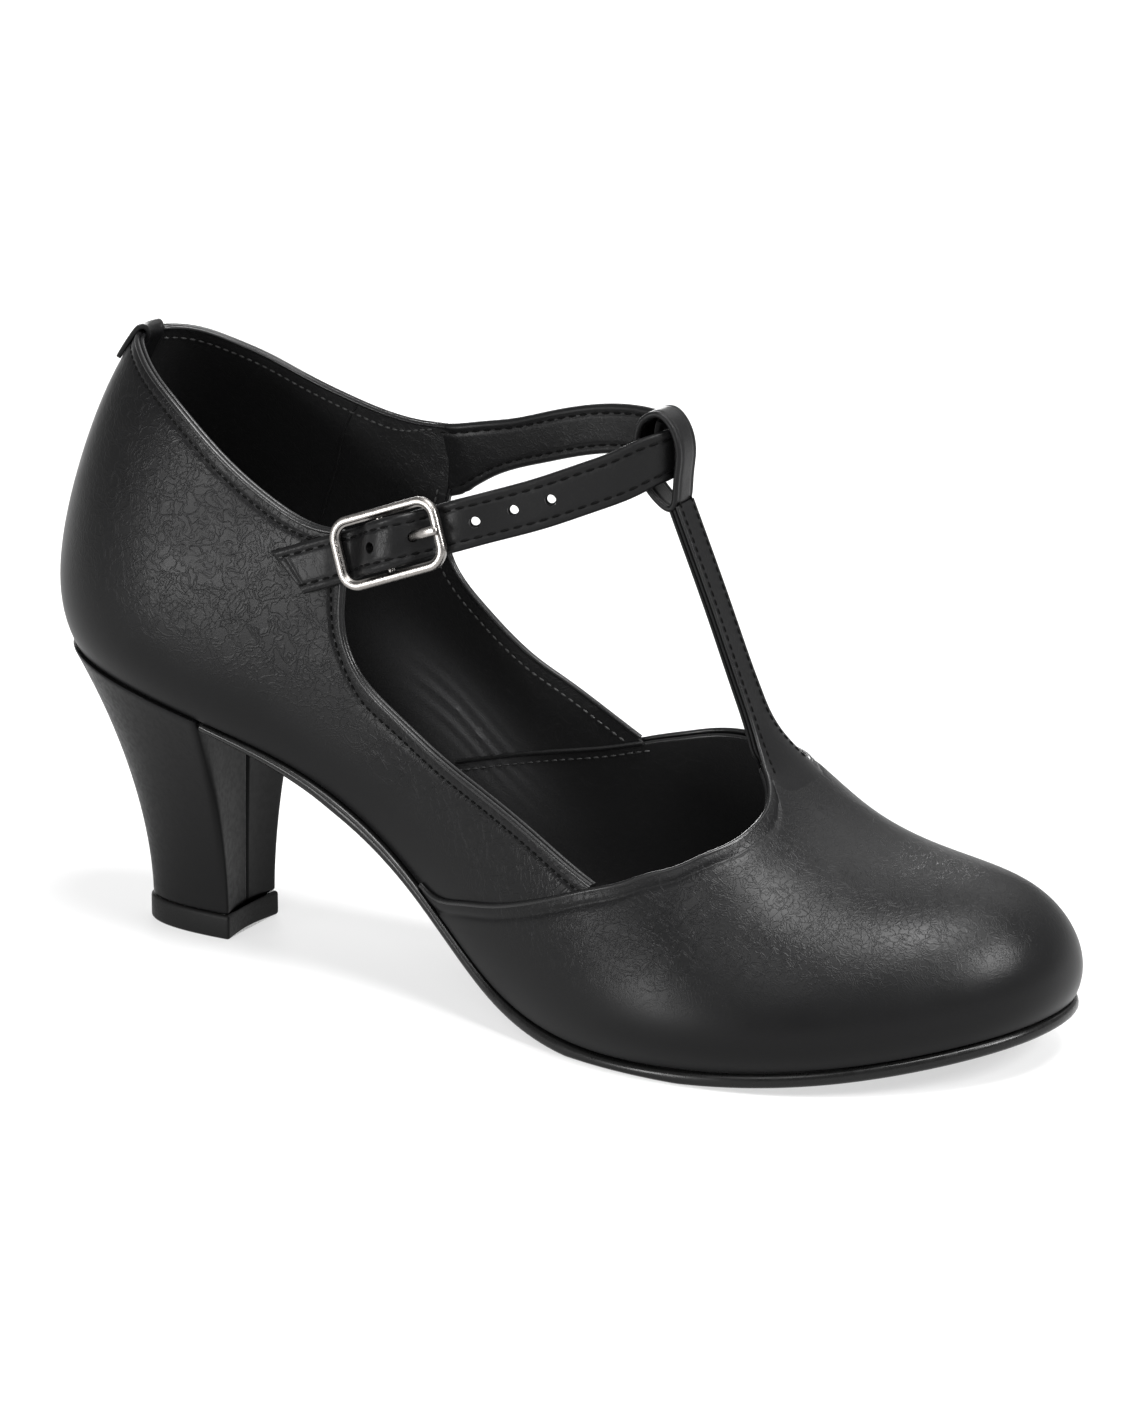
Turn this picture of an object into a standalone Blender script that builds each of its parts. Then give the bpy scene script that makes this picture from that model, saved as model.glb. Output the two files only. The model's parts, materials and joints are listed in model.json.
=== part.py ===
"""A right-foot dance shoe: T-strap upper, ankle strap with buckle, thin sole and block heel.

The upper, insole, sole and heel all take their form from one last surface. Lengths in the
tables are millimetres, measured from the back of the heel: x to the toe, y to the inner
(medial) side of the foot, z up from the floor.
"""
import math

import bpy
import bmesh
import numpy as np
from mathutils import Vector

MM = 0.001
CENTRE_X = 118.4
CENTRE_Y = -2.3

# Walls and clearances
CLEAR = 0.3
WALL_THICK = 1.6
QUARTER_FACE = -0.4
VAMP_FACE = 0.4
VAMP_LIP = 0.7
VAMP_FOOT_RISE = 0.5
SOLE_THICK = 3.0
SOLE_PROUD = 1.2
INSOLE_THICK = 2.2
INSOLE_INSET = 2.5

# Heel and top lift
BREAST_X = 46.5
SOLE_END_X = 47.2
HEEL_PROUD = 0.5
HEEL_BACK_X = 22.5
HEEL_BASE_HALF = 9.8
HEEL_BASE_Y = -3.2
HEEL_FLARE = 1.75
BREAST_HOLLOW = 1.2
LIFT_HEIGHT = 5.5
LIFT_LIP = 0.5

# Straps and buckle
STRAP_WIDTH = 10.5
STRAP_ROOT_WIDTH = 13.6
STRAP_THICK = 1.8
STRAP_SLANT = 2.6
ROOT_SLANT = 3.5
T_STRAP_THICK = 2.6
LOOP_WIDTH = 7.5
LOOP_THICK = 1.4
LOOP_Y = -1.0
BUCKLE_LENGTH = 26.1
BUCKLE_SHIFT = 1.3
BUCKLE_WIDTH = 15.6
BUCKLE_BAND = 2.1
BUCKLE_THICK = 2.0
BUCKLE_CORNER = 4.6
BUCKLE_RISE = 2.6
BAR_RADIUS = 0.7
BAR_RISE = 1.5
PRONG_RADIUS = 0.75
TAB_THICK = 0.7
TAB_WIDTH = 9.6
BACK_TOP_Z = 130.0
STRAP_EDGE = 0.45
STRAP_REST = 0.15
ROOT_TAPER = 16.0
SLANT_REACH = 6.0
T_STRAP_EDGE = 0.5
LOOP_EDGE = 0.4
EYE_PLAY = 0.25
SLOT_PLAY = 0.5
TAB_EDGE = 0.2
TAB_GAP = 2.9
TAB_PLAY = 0.1

# Strip folded over the heel back, its reach as a share of the way round the feather edge
BACK_TAB_THICK = 1.1
BACK_TAB_REACH = 0.0145
BACK_TAB_OUTER_Z = 123.6
BACK_TAB_INNER_Z = 123.8
BACK_TAB_PLAY = 0.1
RISE_STEP = 0.02

# How finely the pieces are divided
TOPLINE_COLUMNS, OUTER_FRONT_COLUMNS, INNER_FRONT_COLUMNS, ROOT_COLUMNS = 18, 20, 18, 3
THROAT_COLUMNS, PEAK_COLUMNS, RIDGE_COLUMNS, SEAM_COLUMNS = 15, 4, 11, 13
UPPER_ROWS = 8
SOLE_STATIONS, INSOLE_STATIONS = 44, 56
HEEL_STATIONS, HEEL_LEVELS, BREAST_STATIONS = 13, 11, 9
STRAP_STATIONS, T_STRAP_STATIONS, LOOP_STATIONS = 70, 16, 28
PRONG_STATIONS, TAB_STATIONS, CORNER_STEPS = 22, 28, 8
BACK_TAB_COLUMNS = 7
WELD_DISTANCE = 0.05

# Feather edge of the last in plan, from the heel back along the outer side to the toe and back: x, y
OUTLINE = [
    (3.5, 0.5), (8, -12.5), (21, -21.5), (46, -24.5), (76, -23.5), (102, -26.5),
    (132, -36), (157, -42), (178, -42), (198, -36.5), (217, -24.5), (230, -9.5),
    (234, 5), (231, 18.5), (219, 29.5), (201, 36.5), (179, 37.5), (152, 32),
    (124, 22), (98, 17), (72, 18.5), (46, 21.5), (21, 20.5), (8, 13),
]
# Height of the feather edge: x, z
FEATHER = [
    (-5, 63), (3.5, 62), (26, 57.5), (50, 51.5), (74, 43.5), (100, 27.5), (123, 10),
    (144, 3.4), (166, 3), (188, 4.5), (212, 7.5), (235, 12),
]
# Ridge line along the top of the foot: x, y, z
RIDGE = [
    (20, -1.5, 138), (60, -1.5, 141), (92, -1.5, 139), (116, -1.5, 126), (132, -1, 106),
    (148, -0.5, 80), (164, 0.5, 62), (171, 1, 57), (181, 1.5, 48.5), (197, 2.5, 40.5),
    (212, 3.5, 38),
]
# Fullness of the side wall: x, bulge, height of the bulge, sideways power, upward power
FULLNESS = [
    (3.5, 4, 20, 1, 1), (46, 3, 18, 0.9, 1), (100, 1, 14, 0.9, 1), (132, 1.5, 12, 0.95, 1),
    (166, 3, 11, 0.95, 0.95), (205, 3, 11, 0.85, 0.87), (235, 2, 11, 0.75, 0.87),
]
TOE_EASE_FROM, RIDGE_TOE_X = 158, 212
HEEL_EASE_FROM, RIDGE_HEEL_X = 72, 35
EASE_END_SLOPE = 0.15
LEVEL_RIDGE_X = 100

# Cut edges of the upper, dropped onto the last: x, y, z
OUTER_TOPLINE = [
    (22, -8.5, 129), (29, -14.5, 124.5), (36.5, -17.5, 119.5), (46, -19.5, 112.5),
    (54.5, -20.5, 106.5), (63, -21, 101.5), (70, -21, 98.3), (76, -20.7, 97), (80, -20.5, 97),
]
OUTER_FRONT = [
    (80, -20.5, 97), (80.8, -22, 86), (80.9, -22.7, 79.5), (82.4, -23.5, 73.5), (86, -24, 67.5),
    (95, -25, 60.5), (106.5, -27, 54), (121.5, -31, 48), (136, -35, 42), (150, -38, 36),
]
OUTER_THROAT = [
    (150, -38, 36), (156, -37, 38), (161, -35, 40), (166, -33, 41.7), (170, -30, 43.8),
    (174, -25.4, 45.7), (176.3, -18.6, 48.1), (176.3, -13.4, 50), (175, -9.4, 52.2),
    (173, -6.4, 54.5), (171, -4.4, 56.8),
]
OUTER_SEAM = [
    (103, -27, 26), (106, -27.7, 24.6), (115, -31, 25.2), (124.5, -34, 27.1),
    (134.5, -36.8, 30.3), (144, -38, 33.8), (150, -38, 36),
]
INNER_TOPLINE = [
    (22, 6.3, 130), (27.5, 9.7, 129), (34, 12, 127), (42, 13.2, 124.3), (51.5, 14, 120.6),
    (61.5, 13.7, 117.4), (72, 13, 115), (82.5, 12, 114.2), (89, 11.2, 114.6),
]
INNER_ROOT = [(89, 11.2, 114.6), (88.4, 12.5, 107), (87.5, 13.5, 100.5)]
INNER_FRONT = [
    (87.5, 13.5, 100.5), (86.2, 14.3, 96.5), (85.4, 15.2, 91), (86.2, 15.8, 84.5), (94.5, 16, 74.2),
    (107, 17, 64), (113, 17.8, 60.4), (129.5, 22.2, 48.6),
]
INNER_THROAT = [
    (129.5, 22.2, 48.6), (139, 23.8, 51), (153, 23, 53.5), (163, 20.5, 53.5), (170, 16.5, 53),
    (173.5, 12, 53.2), (173.5, 8.5, 54.3), (172, 6.4, 55.8), (171, 5.8, 56.6),
]
INNER_SEAM = [
    (87, 17.5, 38.5), (93, 17.8, 40.3), (111, 18.8, 44.7), (122, 20.6, 46.8), (129.5, 22.2, 48.6),
]
PEAK_X = 171
COLUMN_BEND = 3
# Where each stretch of the cut edge stands over the feather edge: x
OUTER_FEET = {"topline": 66, "front": 146, "throat": 203, "peak": 209}
INNER_FEET = {"topline": 52, "root": 62, "front": 128, "throat": 201, "peak": 207}
OUTER_SEAM_FOOT_X = 104
INNER_SEAM_FOOT_X = 88

# Middle line of the T-strap: x, y, z, width
T_STRAP = [
    (169.6, 0.8, 57, 10), (168.9, 0.8, 58.3, 9.5), (168.1, 0.7, 60.3, 8.7), (167, 0.6, 63.4, 7.8),
    (164.2, 0.3, 70.5, 7), (158, -0.2, 86.5, 6.6), (152.2, -0.7, 101, 6.6), (149.4, -1, 108, 6.6),
]
# Loop at the head of the T-strap, seen from the outer side: x, z
LOOP = [
    (148.9, 107.5), (150.1, 113), (150.6, 119), (149.2, 124), (145.8, 126.8), (142, 124.8),
    (140.9, 120.5), (141.6, 115), (144.6, 110),
]
# Middle line of the ankle strap from its root to the buckle: x, y, z, lean of its width
ANKLE_ROUTE = [
    (89.7, 10.9, 107.7, -0.16), (97, 10.4, 110.4, -0.12), (107.3, 9.2, 113.6, -0.08),
    (118, 7.8, 117, -0.04), (128.5, 6.8, 119.5, 0), (138, 5.4, 120.3, 0), (143.8, 3.5, 119.8, 0),
    (147.5, -0.8, 118.6, 0), (144.6, -5.1, 117.1, 0), (141, -7.3, 115, 0), (133, -10.3, 111.3, 0.04),
    (124, -13.5, 107.6, 0.08), (114.5, -17.1, 104.4, 0.12),
]
# The strap where it weaves through the buckle: place along it from the centre bar, rise above its seat
BUCKLE_WEAVE = [
    (16.2, 0), (13.8, 0), (11.5, 0), (9.2, 0.8), (7, 2.3), (4.8, 4), (2.4, 4.7), (0, 4.7),
    (-2.2, 4.05), (-4.4, 2.5), (-6.6, 1), (-8.9, 0.3), (-11.2, 0.3),
]
BUCKLE_SEAT = (92.6, -21.5, 96.6)
BUCKLE_RUN = (0.934, 0.07, 0.348)
BUCKLE_LEAN = 0.165
# The strap end lying on the quarter: place along it
STRAP_END = [-15.5, -19, -22.5, -25]
# Strap holes in front of the buckle: x, y, z
STRAP_HOLES = [(111.4, -18.3, 103.3), (118.7, -15.6, 105.9), (125.9, -12.8, 108.5)]
HOLE_RADIUS = 1.2
HOLE_DEPTH = 6.0
HOLE_WAY = (0.35, -0.93, 0)
# The hole that shows inside the buckle: place along the strap, rise
WOVEN_HOLE = (-1.5, 4.4)
WOVEN_SLOPE = 0.3
# The prong from the bar to its tip: place along the strap, rise
PRONG = [(3.6, 1.2), (6.7, 2.45), (8.8, 3.5), (10.6, 4.45), (12.2, 4.8), (14.6, 4.8)]
# The slot the prong comes through: place along the strap, rise, slope in degrees
PRONG_SLOT = (6.7, 2.45, 24)
SLOT_LENGTH = 7.0
# The buckle tab from the quarter to the bar: place along the strap, rise
TAB = [(-9, -2.9), (-6, -2.3), (-2.5, -1.05)]
TAB_ON_QUARTER = [-20, -17, -14]


def spline(knots, values, at):
    """Natural cubic spline through values at knots, read at the given places."""
    knots = np.asarray(knots, float)
    values = np.asarray(values, float)
    at = np.asarray(at, float)
    columns = values.reshape(len(knots), -1)
    step = np.diff(knots)
    count = len(knots)
    system = np.eye(count)
    right = np.zeros_like(columns)
    for i in range(1, count - 1):
        system[i, i - 1:i + 2] = step[i - 1], 2 * (step[i - 1] + step[i]), step[i]
        ahead = (columns[i + 1] - columns[i]) / step[i]
        behind = (columns[i] - columns[i - 1]) / step[i - 1]
        right[i] = 6 * (ahead - behind)
    bend = np.linalg.solve(system, right)
    flat = at.ravel()
    i = np.clip(np.searchsorted(knots, flat) - 1, 0, count - 2)
    width = step[i][:, None]
    after = (flat - knots[i])[:, None]
    before = width - after
    out = (bend[i] * before ** 3 + bend[i + 1] * after ** 3) / (6 * width)
    out += (columns[i] / width - bend[i] * width / 6) * before
    out += (columns[i + 1] / width - bend[i + 1] * width / 6) * after
    return out.reshape(at.shape + values.shape[1:])


def column(rows, index, at):
    """One column of a table, read by its first column."""
    rows = np.asarray(rows, float)
    return spline(rows[:, 0], rows[:, index], at)


def chords(points, power=1.0):
    """Running length along a row of points."""
    steps = np.linalg.norm(np.diff(points, axis=0), axis=1) ** power
    return np.concatenate([[0], np.cumsum(steps)])


def smooth_path(points, count):
    """A smooth open path through points, read at even steps."""
    points = np.asarray(points, float)
    run = chords(points)
    fine = spline(run, points, np.linspace(0, run[-1], 12 * count))
    length = chords(fine)
    even = np.linspace(0, length[-1], count)
    return np.stack([np.interp(even, length, fine[:, k]) for k in range(points.shape[1])], 1)


def smooth_ring(points, count, power=1.0, wrap=4):
    """A smooth closed path through points, read at even steps."""
    points = np.asarray(points, float)
    around = np.concatenate([points[-wrap:], points, points[:wrap + 1]])
    run = chords(around, power)
    fine = spline(run, around, np.linspace(run[wrap], run[wrap + len(points)], 12 * count))
    length = chords(fine)
    even = np.linspace(0, length[-1], count + 1)[:-1]
    return np.stack([np.interp(even, length, fine[:, k]) for k in range(points.shape[1])], 1)


# The last

PLAN_COUNT = 1440
PLAN = smooth_ring(OUTLINE, PLAN_COUNT, power=0.7)
PLAN_U = np.arange(PLAN_COUNT) / PLAN_COUNT
TANGENT = np.roll(PLAN, -1, 0) - np.roll(PLAN, 1, 0)
TANGENT /= np.linalg.norm(TANGENT, axis=1)[:, None]
OUTWARD = np.stack([TANGENT[:, 1], -TANGENT[:, 0]], 1)
TIP = int(np.argmax(PLAN[:, 0]))
TIP_U, TIP_X = PLAN_U[TIP], PLAN[TIP, 0]
HEEL_X = PLAN[:, 0].min()


def plan(u):
    """Feather edge point and outward direction at u, a share of the way round."""
    return [np.interp(u, PLAN_U, values, period=1.0) for values in (*PLAN.T, *OUTWARD.T)]


def feather_z(x):
    return column(FEATHER, 1, x)


def eased(x, start, goal, tip):
    """x itself up to start, then slowing so that it reaches goal at the tip."""
    t = np.clip((x - start) / (tip - start), 0, 1)
    span = tip - start
    bent = (t ** 3 - 2 * t ** 2 + t) * span + (3 * t ** 2 - 2 * t ** 3) * (goal - start)
    bent += (t ** 3 - t ** 2) * EASE_END_SLOPE * span
    return np.where(x < start, x, start + bent)


def ridge_x(x):
    """Where on the ridge the section from feather point x ends."""
    toe = eased(x, TOE_EASE_FROM, RIDGE_TOE_X, TIP_X)
    mirror = 2 * HEEL_EASE_FROM
    heel = mirror - eased(mirror - x, HEEL_EASE_FROM, mirror - RIDGE_HEEL_X, mirror - HEEL_X)
    return np.where(x < HEEL_EASE_FROM, heel, toe)


def last_face(u, theta):
    """The last: u goes round the feather edge, theta from the feather edge (0) to the ridge (pi/2)."""
    fx, fy, nx, ny = plan(u)
    rx = ridge_x(fx)
    ry = column(RIDGE, 1, rx)
    rz = column(RIDGE, 2, rx)
    slope = column(RIDGE, 2, rx + 0.5) - column(RIDGE, 2, rx - 0.5)
    slope = np.where(rx < LEVEL_RIDGE_X, 0.0, slope)
    bulge, bulge_height, sideways, upward = (column(FULLNESS, k, fx) for k in (1, 2, 3, 4))
    foot_z = feather_z(fx)
    cos = np.clip(np.cos(theta), 0, 1)
    across = 1 - cos ** sideways
    px = fx + (rx - fx) * across
    py = fy + (ry - fy) * across
    roof = rz + slope * (px - rx)
    drop = rz + slope * (fx - rx) - foot_z
    z = roof - drop * (1 - np.sin(theta) ** upward)
    level = np.maximum(z - foot_z, 0) / bulge_height
    swell = bulge * level * np.exp(1 - level) * cos
    return np.stack([px + nx * swell, py + ny * swell, z], -1)


def last_normal(u, theta):
    du, dt = 1e-3, 1e-2
    along = last_face(u + du, theta) - last_face(u - du, theta)
    up = last_face(u, np.minimum(theta + dt, math.pi / 2)) - last_face(u, np.maximum(theta - dt, 0))
    normal = np.cross(along, up)
    return normal / np.linalg.norm(normal, axis=-1, keepdims=True)


def last(u, theta, lift=0.0):
    """A point on the last, lifted off it along its normal."""
    u, theta = np.broadcast_arrays(np.asarray(u, float), np.asarray(theta, float))
    return last_face(u, theta) + lift * last_normal(u, theta)


def u_at(x, outer):
    """The place round the feather edge at x, on the outer or inner side."""
    if outer:
        return np.interp(x, PLAN[:TIP + 1, 0], PLAN_U[:TIP + 1])
    side = np.concatenate([PLAN[TIP:], PLAN[:1]])[::-1]
    return np.interp(x, side[:, 0], np.concatenate([PLAN_U[TIP:], [1.0]])[::-1])


def dropped(points, outer):
    """u and theta of the points of the last nearest to the given points."""
    points = np.asarray(points, float)
    low, high = (0.0, TIP_U) if outer else (TIP_U, 1.0)
    u, theta = np.meshgrid(np.linspace(low, high, 240), np.linspace(0, math.pi / 2, 90), indexing="ij")
    cloud = last(u, theta).reshape(-1, 3)
    pairs = np.stack([u.ravel(), theta.ravel()], 1)
    found = np.stack([pairs[np.argmin(((cloud - p) ** 2).sum(1))] for p in points])
    step = 1e-3
    for _ in range(6):
        here = last(found[:, 0], found[:, 1])
        by_u = (last(found[:, 0] + step, found[:, 1]) - here) / step
        by_theta = (here - last(found[:, 0], found[:, 1] - step)) / step
        for k, miss in enumerate(points - here):
            jacobian = np.stack([by_u[k], by_theta[k]], 1)
            found[k] += np.linalg.lstsq(jacobian, miss, rcond=None)[0]
        found[:, 0] = np.clip(found[:, 0], low, high)
        found[:, 1] = np.clip(found[:, 1], 0, math.pi / 2)
    return found


def theta_at(u, z):
    """The theta at which the section at u reaches height z."""
    steps = np.linspace(0, math.pi / 2, 400)
    return np.interp(z, last(np.full(400, u), steps)[:, 2], steps)


# The upper's pattern

def traced(rows, outer, count, start=None):
    """A smooth cut edge on the last as pairs of u and theta."""
    pairs = dropped(rows, outer)
    if start is not None:
        pairs = np.concatenate([[start], pairs])
    run = chords(last(pairs[:, 0], pairs[:, 1]))
    return spline(run, pairs, np.linspace(0, run[-1], count))


def ridge_start(outer, x):
    """u of the section that meets the ridge at x."""
    sections = np.linspace(TOE_EASE_FROM - 20, TIP_X, 800)
    return float(u_at(np.interp(x, ridge_x(sections), sections), outer))


def ridge_edge(outer, x, count):
    """The ridge from x to the toe as pairs of u and theta, closer together towards the tip."""
    first = plan(ridge_start(outer, x))[0]
    stations = TIP_X - (TIP_X - first) * np.linspace(1, 0, count) ** 2
    return np.stack([u_at(stations, outer), np.full(count, math.pi / 2)], 1)


def straight(start, end, count):
    share = np.linspace(0, 1, count)[:, None]
    return np.asarray(start) + (np.asarray(end) - np.asarray(start)) * share


def side_columns(outer, spans, peak_x):
    """Columns of one side: u of the foot, u and theta of the head, 1 where the head is a throat edge."""
    rows = []
    for foot_from, foot_to, edge, lip in spans:
        feet = np.linspace(foot_from, foot_to, len(edge))
        rows += [(foot, head[0], head[1], lip) for foot, head in zip(feet[:-1], edge[:-1])]
    ridge = ridge_edge(outer, peak_x, RIDGE_COLUMNS)
    feet = np.linspace(spans[-1][1], TIP_U, len(ridge))
    rows += [(foot, head[0], head[1], 0) for foot, head in zip(feet, ridge)]
    return rows


def edge_spans(outer, peak_x):
    """Throat and peak of one side, from the vamp junction to the ridge."""
    feet = OUTER_FEET if outer else INNER_FEET
    foot = {name: float(u_at(x, outer)) for name, x in feet.items()}
    throat = traced(OUTER_THROAT if outer else INNER_THROAT, outer, THROAT_COLUMNS)
    ridge = (ridge_start(outer, peak_x), math.pi / 2)
    peak = straight(throat[-1], ridge, PEAK_COLUMNS)
    return foot, [(foot["front"], foot["throat"], throat, 1), (foot["throat"], foot["peak"], peak, 1)]


def quarter_columns():
    """Columns of the whole inner layer, from the heel back round the toe to the heel back."""
    base_peak = PEAK_X + VAMP_LIP
    back_theta = theta_at(0.0, BACK_TOP_Z)
    foot, spans = edge_spans(True, base_peak)
    topline = traced(OUTER_TOPLINE, True, TOPLINE_COLUMNS, (0.0, back_theta))
    front = traced(OUTER_FRONT, True, OUTER_FRONT_COLUMNS)
    outer = [(0.0, foot["topline"], topline, 0), (foot["topline"], foot["front"], front, 0)] + spans
    foot, spans = edge_spans(False, base_peak)
    topline = traced(INNER_TOPLINE, False, TOPLINE_COLUMNS, (1.0, back_theta))
    root = traced(INNER_ROOT, False, ROOT_COLUMNS)
    front = traced(INNER_FRONT, False, INNER_FRONT_COLUMNS)
    inner = [(1.0, foot["topline"], topline, 0), (foot["topline"], foot["root"], root, 0)]
    inner += [(foot["root"], foot["front"], front, 0)] + spans
    return side_columns(True, outer, base_peak) + side_columns(False, inner, base_peak)[-2::-1]


def vamp_columns():
    """Columns of the vamp layer, from the outer seam round the toe to the inner seam."""
    sides = []
    for outer in (True, False):
        seam = OUTER_SEAM if outer else INNER_SEAM
        seam_foot = OUTER_SEAM_FOOT_X if outer else INNER_SEAM_FOOT_X
        foot, spans = edge_spans(outer, PEAK_X)
        seam_span = (float(u_at(seam_foot, outer)), foot["front"], traced(seam, outer, SEAM_COLUMNS), 0)
        sides.append(side_columns(outer, [seam_span] + spans, PEAK_X))
    return sides[0] + sides[1][-2::-1]


def leather_sheet(name, columns, face, foot_rise, lip):
    """An open sheet on the last, one strip of faces between each pair of columns."""
    foot, head_u, head_theta, is_throat = np.asarray(columns, float).T
    share = np.linspace(0, 1, UPPER_ROWS)[None, :]
    low = np.array([theta_at(u, feather_z(plan(u)[0]) + foot_rise) if foot_rise else 0.0 for u in foot])
    reach = np.linalg.norm(last(head_u, head_theta) - last(foot, low), axis=1)
    stop = 1 - is_throat * lip / reach
    share = share * stop[:, None]
    u = foot[:, None] + (head_u - foot)[:, None] * share ** COLUMN_BEND
    theta = low[:, None] + (head_theta - low)[:, None] * share
    points = last(u, theta, face)
    mesh = bmesh.new()
    grid = [[mesh.verts.new(place(p)) for p in line] for line in points]
    for left, right in zip(grid[:-1], grid[1:]):
        for j in range(UPPER_ROWS - 1):
            mesh.faces.new((left[j], right[j], right[j + 1], left[j + 1]))
    bmesh.ops.remove_doubles(mesh, verts=mesh.verts, dist=WELD_DISTANCE * MM)
    return finish(mesh, name, GRAIN_LEATHER, closed=False)


# Blender helpers

def place(point):
    """Table millimetres to the part's own frame in metres."""
    return Vector(((point[0] - CENTRE_X) * MM, (point[1] - CENTRE_Y) * MM, point[2] * MM))


def finish(mesh, name, material, closed=True):
    """Turn a bmesh into a named object of the shoe."""
    if closed:
        bmesh.ops.recalc_face_normals(mesh, faces=mesh.faces)
    data = bpy.data.meshes.new(name)
    mesh.to_mesh(data)
    mesh.free()
    data.shade_smooth()
    data.set_sharp_from_angle(angle=math.radians(40))
    data.materials.append(material)
    made = bpy.data.objects.new(name, data)
    shoe.objects.link(made)
    return made


def as_helper(made):
    """A shape that only joins or cuts another one."""
    shoe.objects.unlink(made)
    helpers.objects.link(made)
    made.hide_render = True
    made.display_type = 'WIRE'
    return made


def solidified(made, thickness, offset):
    wall = made.modifiers.new("wall", 'SOLIDIFY')
    wall.thickness = thickness * MM
    wall.offset = offset
    wall.use_even_offset = True
    wall.use_quality_normals = True
    return made


def combined(made, other, operation):
    step = made.modifiers.new(operation.lower(), 'BOOLEAN')
    step.object = as_helper(other)
    step.operation = operation
    step.solver = 'EXACT'
    return made


def lofted(name, loops, material, ring=False):
    """A solid through loops of equal count. Caps join the points that face each other across a loop."""
    mesh = bmesh.new()
    grid = [[mesh.verts.new(place(p)) for p in loop] for loop in loops]
    count = len(grid[0])
    pairs = list(zip(grid[:-1], grid[1:])) + ([(grid[-1], grid[0])] if ring else [])
    for low, high in pairs:
        for i in range(count):
            k = (i + 1) % count
            mesh.faces.new((low[i], low[k], high[k], high[i]))
    if not ring:
        for loop in (grid[0], grid[-1]):
            half = count // 2
            for i in range(half):
                a, b = loop[i], loop[i + 1]
                c, d = loop[(count - i - 1) % count], loop[-i % count]
                corners = [v for k, v in enumerate((a, b, c, d)) if v not in (a, b, c, d)[:k]]
                mesh.faces.new(corners)
    return finish(mesh, name, material)


def strip_section(half_width, half_thick, corner):
    """A strap's section as places across its width and its thickness, with cut corners."""
    w, t, c = half_width, half_thick, corner
    upper_half = [(-w, t - c), (c - w, t), (w - c, t), (w, t - c)]
    return upper_half + [(-a, -b) for a, b in upper_half]


def swept(points, up, widths, thickness, corner):
    """Loops of a strap along a path: up gives the way of its width, the rest is worked out."""
    points = np.asarray(points, float)
    run = np.gradient(points, axis=0)
    run /= np.linalg.norm(run, axis=1)[:, None]
    across = up - (up * run).sum(1)[:, None] * run
    across /= np.linalg.norm(across, axis=1)[:, None]
    out = np.cross(run, across)
    loops = []
    for point, w, n, width in zip(points, across, out, widths):
        section = strip_section(width / 2, thickness / 2, corner)
        loops.append(np.array([point + a * w + b * n for a, b in section]))
    return loops, run


def plain_finish(name, colour, roughness, metallic=0.0):
    material = bpy.data.materials.new(name)
    material.use_nodes = True
    shader = material.node_tree.nodes["Principled BSDF"]
    shader.inputs["Base Color"].default_value = (*colour, 1.0)
    shader.inputs["Roughness"].default_value = roughness
    shader.inputs["Metallic"].default_value = metallic
    return material


# The pieces

def make_upper():
    quarter = leather_sheet("upper", quarter_columns(), QUARTER_FACE, 0.0, VAMP_LIP)
    solidified(quarter, WALL_THICK, -1)
    vamp = leather_sheet("vamp_layer", vamp_columns(), VAMP_FACE, VAMP_FOOT_RISE, 0.0)
    solidified(vamp, WALL_THICK, -1)
    return combined(quarter, vamp, 'UNION')


def sole_loop(first_x, grow, height):
    """A loop round the sole from the middle of its rear edge, along the outer side to the toe and back."""
    share = 1 - np.linspace(1, 0, SOLE_STATIONS) ** 2
    stations = first_x + (TIP_X - first_x) * share
    u = np.concatenate([u_at(stations, True), u_at(stations[-2::-1], False)])
    x, y, nx, ny = plan(u)
    x = x + nx * grow
    y = y + ny * grow
    x[0] = x[-1] = first_x - grow
    rear = [(x[0] + x[-1]) / 2, (y[0] + y[-1]) / 2]
    flat = np.concatenate([[rear], np.stack([x, y], 1)])
    return np.column_stack([flat, height(flat[:, 0])])


def sole_floor(x):
    return np.maximum(feather_z(x) - CLEAR - SOLE_THICK, 0.0)


def make_outsole():
    def top(x):
        return feather_z(x) - CLEAR

    edge = 0.8
    start = SOLE_END_X + SOLE_PROUD
    loops = [
        sole_loop(start, SOLE_PROUD - 1.1, sole_floor),
        sole_loop(start, SOLE_PROUD - 0.2, lambda x: sole_floor(x) + 0.5 * edge),
        sole_loop(start, SOLE_PROUD, lambda x: (sole_floor(x) + top(x)) / 2),
        sole_loop(start, SOLE_PROUD - 0.2, lambda x: top(x) - 0.5 * edge),
        sole_loop(start, SOLE_PROUD - edge, top),
    ]
    return lofted("outsole", loops, SOLE_BLACK)


def whole_loop(inset, height):
    """A loop round the whole foot bed, from the heel back along the outer side to the toe and back."""
    share = (1 - np.cos(np.linspace(0, math.pi, INSOLE_STATIONS))) / 2
    stations = HEEL_X + (TIP_X - HEEL_X) * share
    u = np.concatenate([u_at(stations, True), u_at(stations[-2:0:-1], False)])
    u[0] = 0.0
    x, y, nx, ny = plan(u)
    flat = np.stack([x - nx * inset, y - ny * inset], 1)
    return np.column_stack([flat, height(flat[:, 0])])


def make_insole():
    loops = [
        whole_loop(INSOLE_INSET, feather_z),
        whole_loop(INSOLE_INSET, lambda x: feather_z(x) + 0.7 * INSOLE_THICK),
        whole_loop(INSOLE_INSET + 0.9, lambda x: feather_z(x) + INSOLE_THICK),
    ]
    return lofted("insole", loops, LINING)


def breast_line(corner_a, corner_b, count):
    """Points between two front corners of the heel, hollowed towards the back."""
    share = np.linspace(0, 1, count)[:, None]
    line = np.asarray(corner_a) + (np.asarray(corner_b) - np.asarray(corner_a)) * share
    line[:, 0] -= BREAST_HOLLOW * np.sin(math.pi * share[:, 0])
    return line


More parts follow.
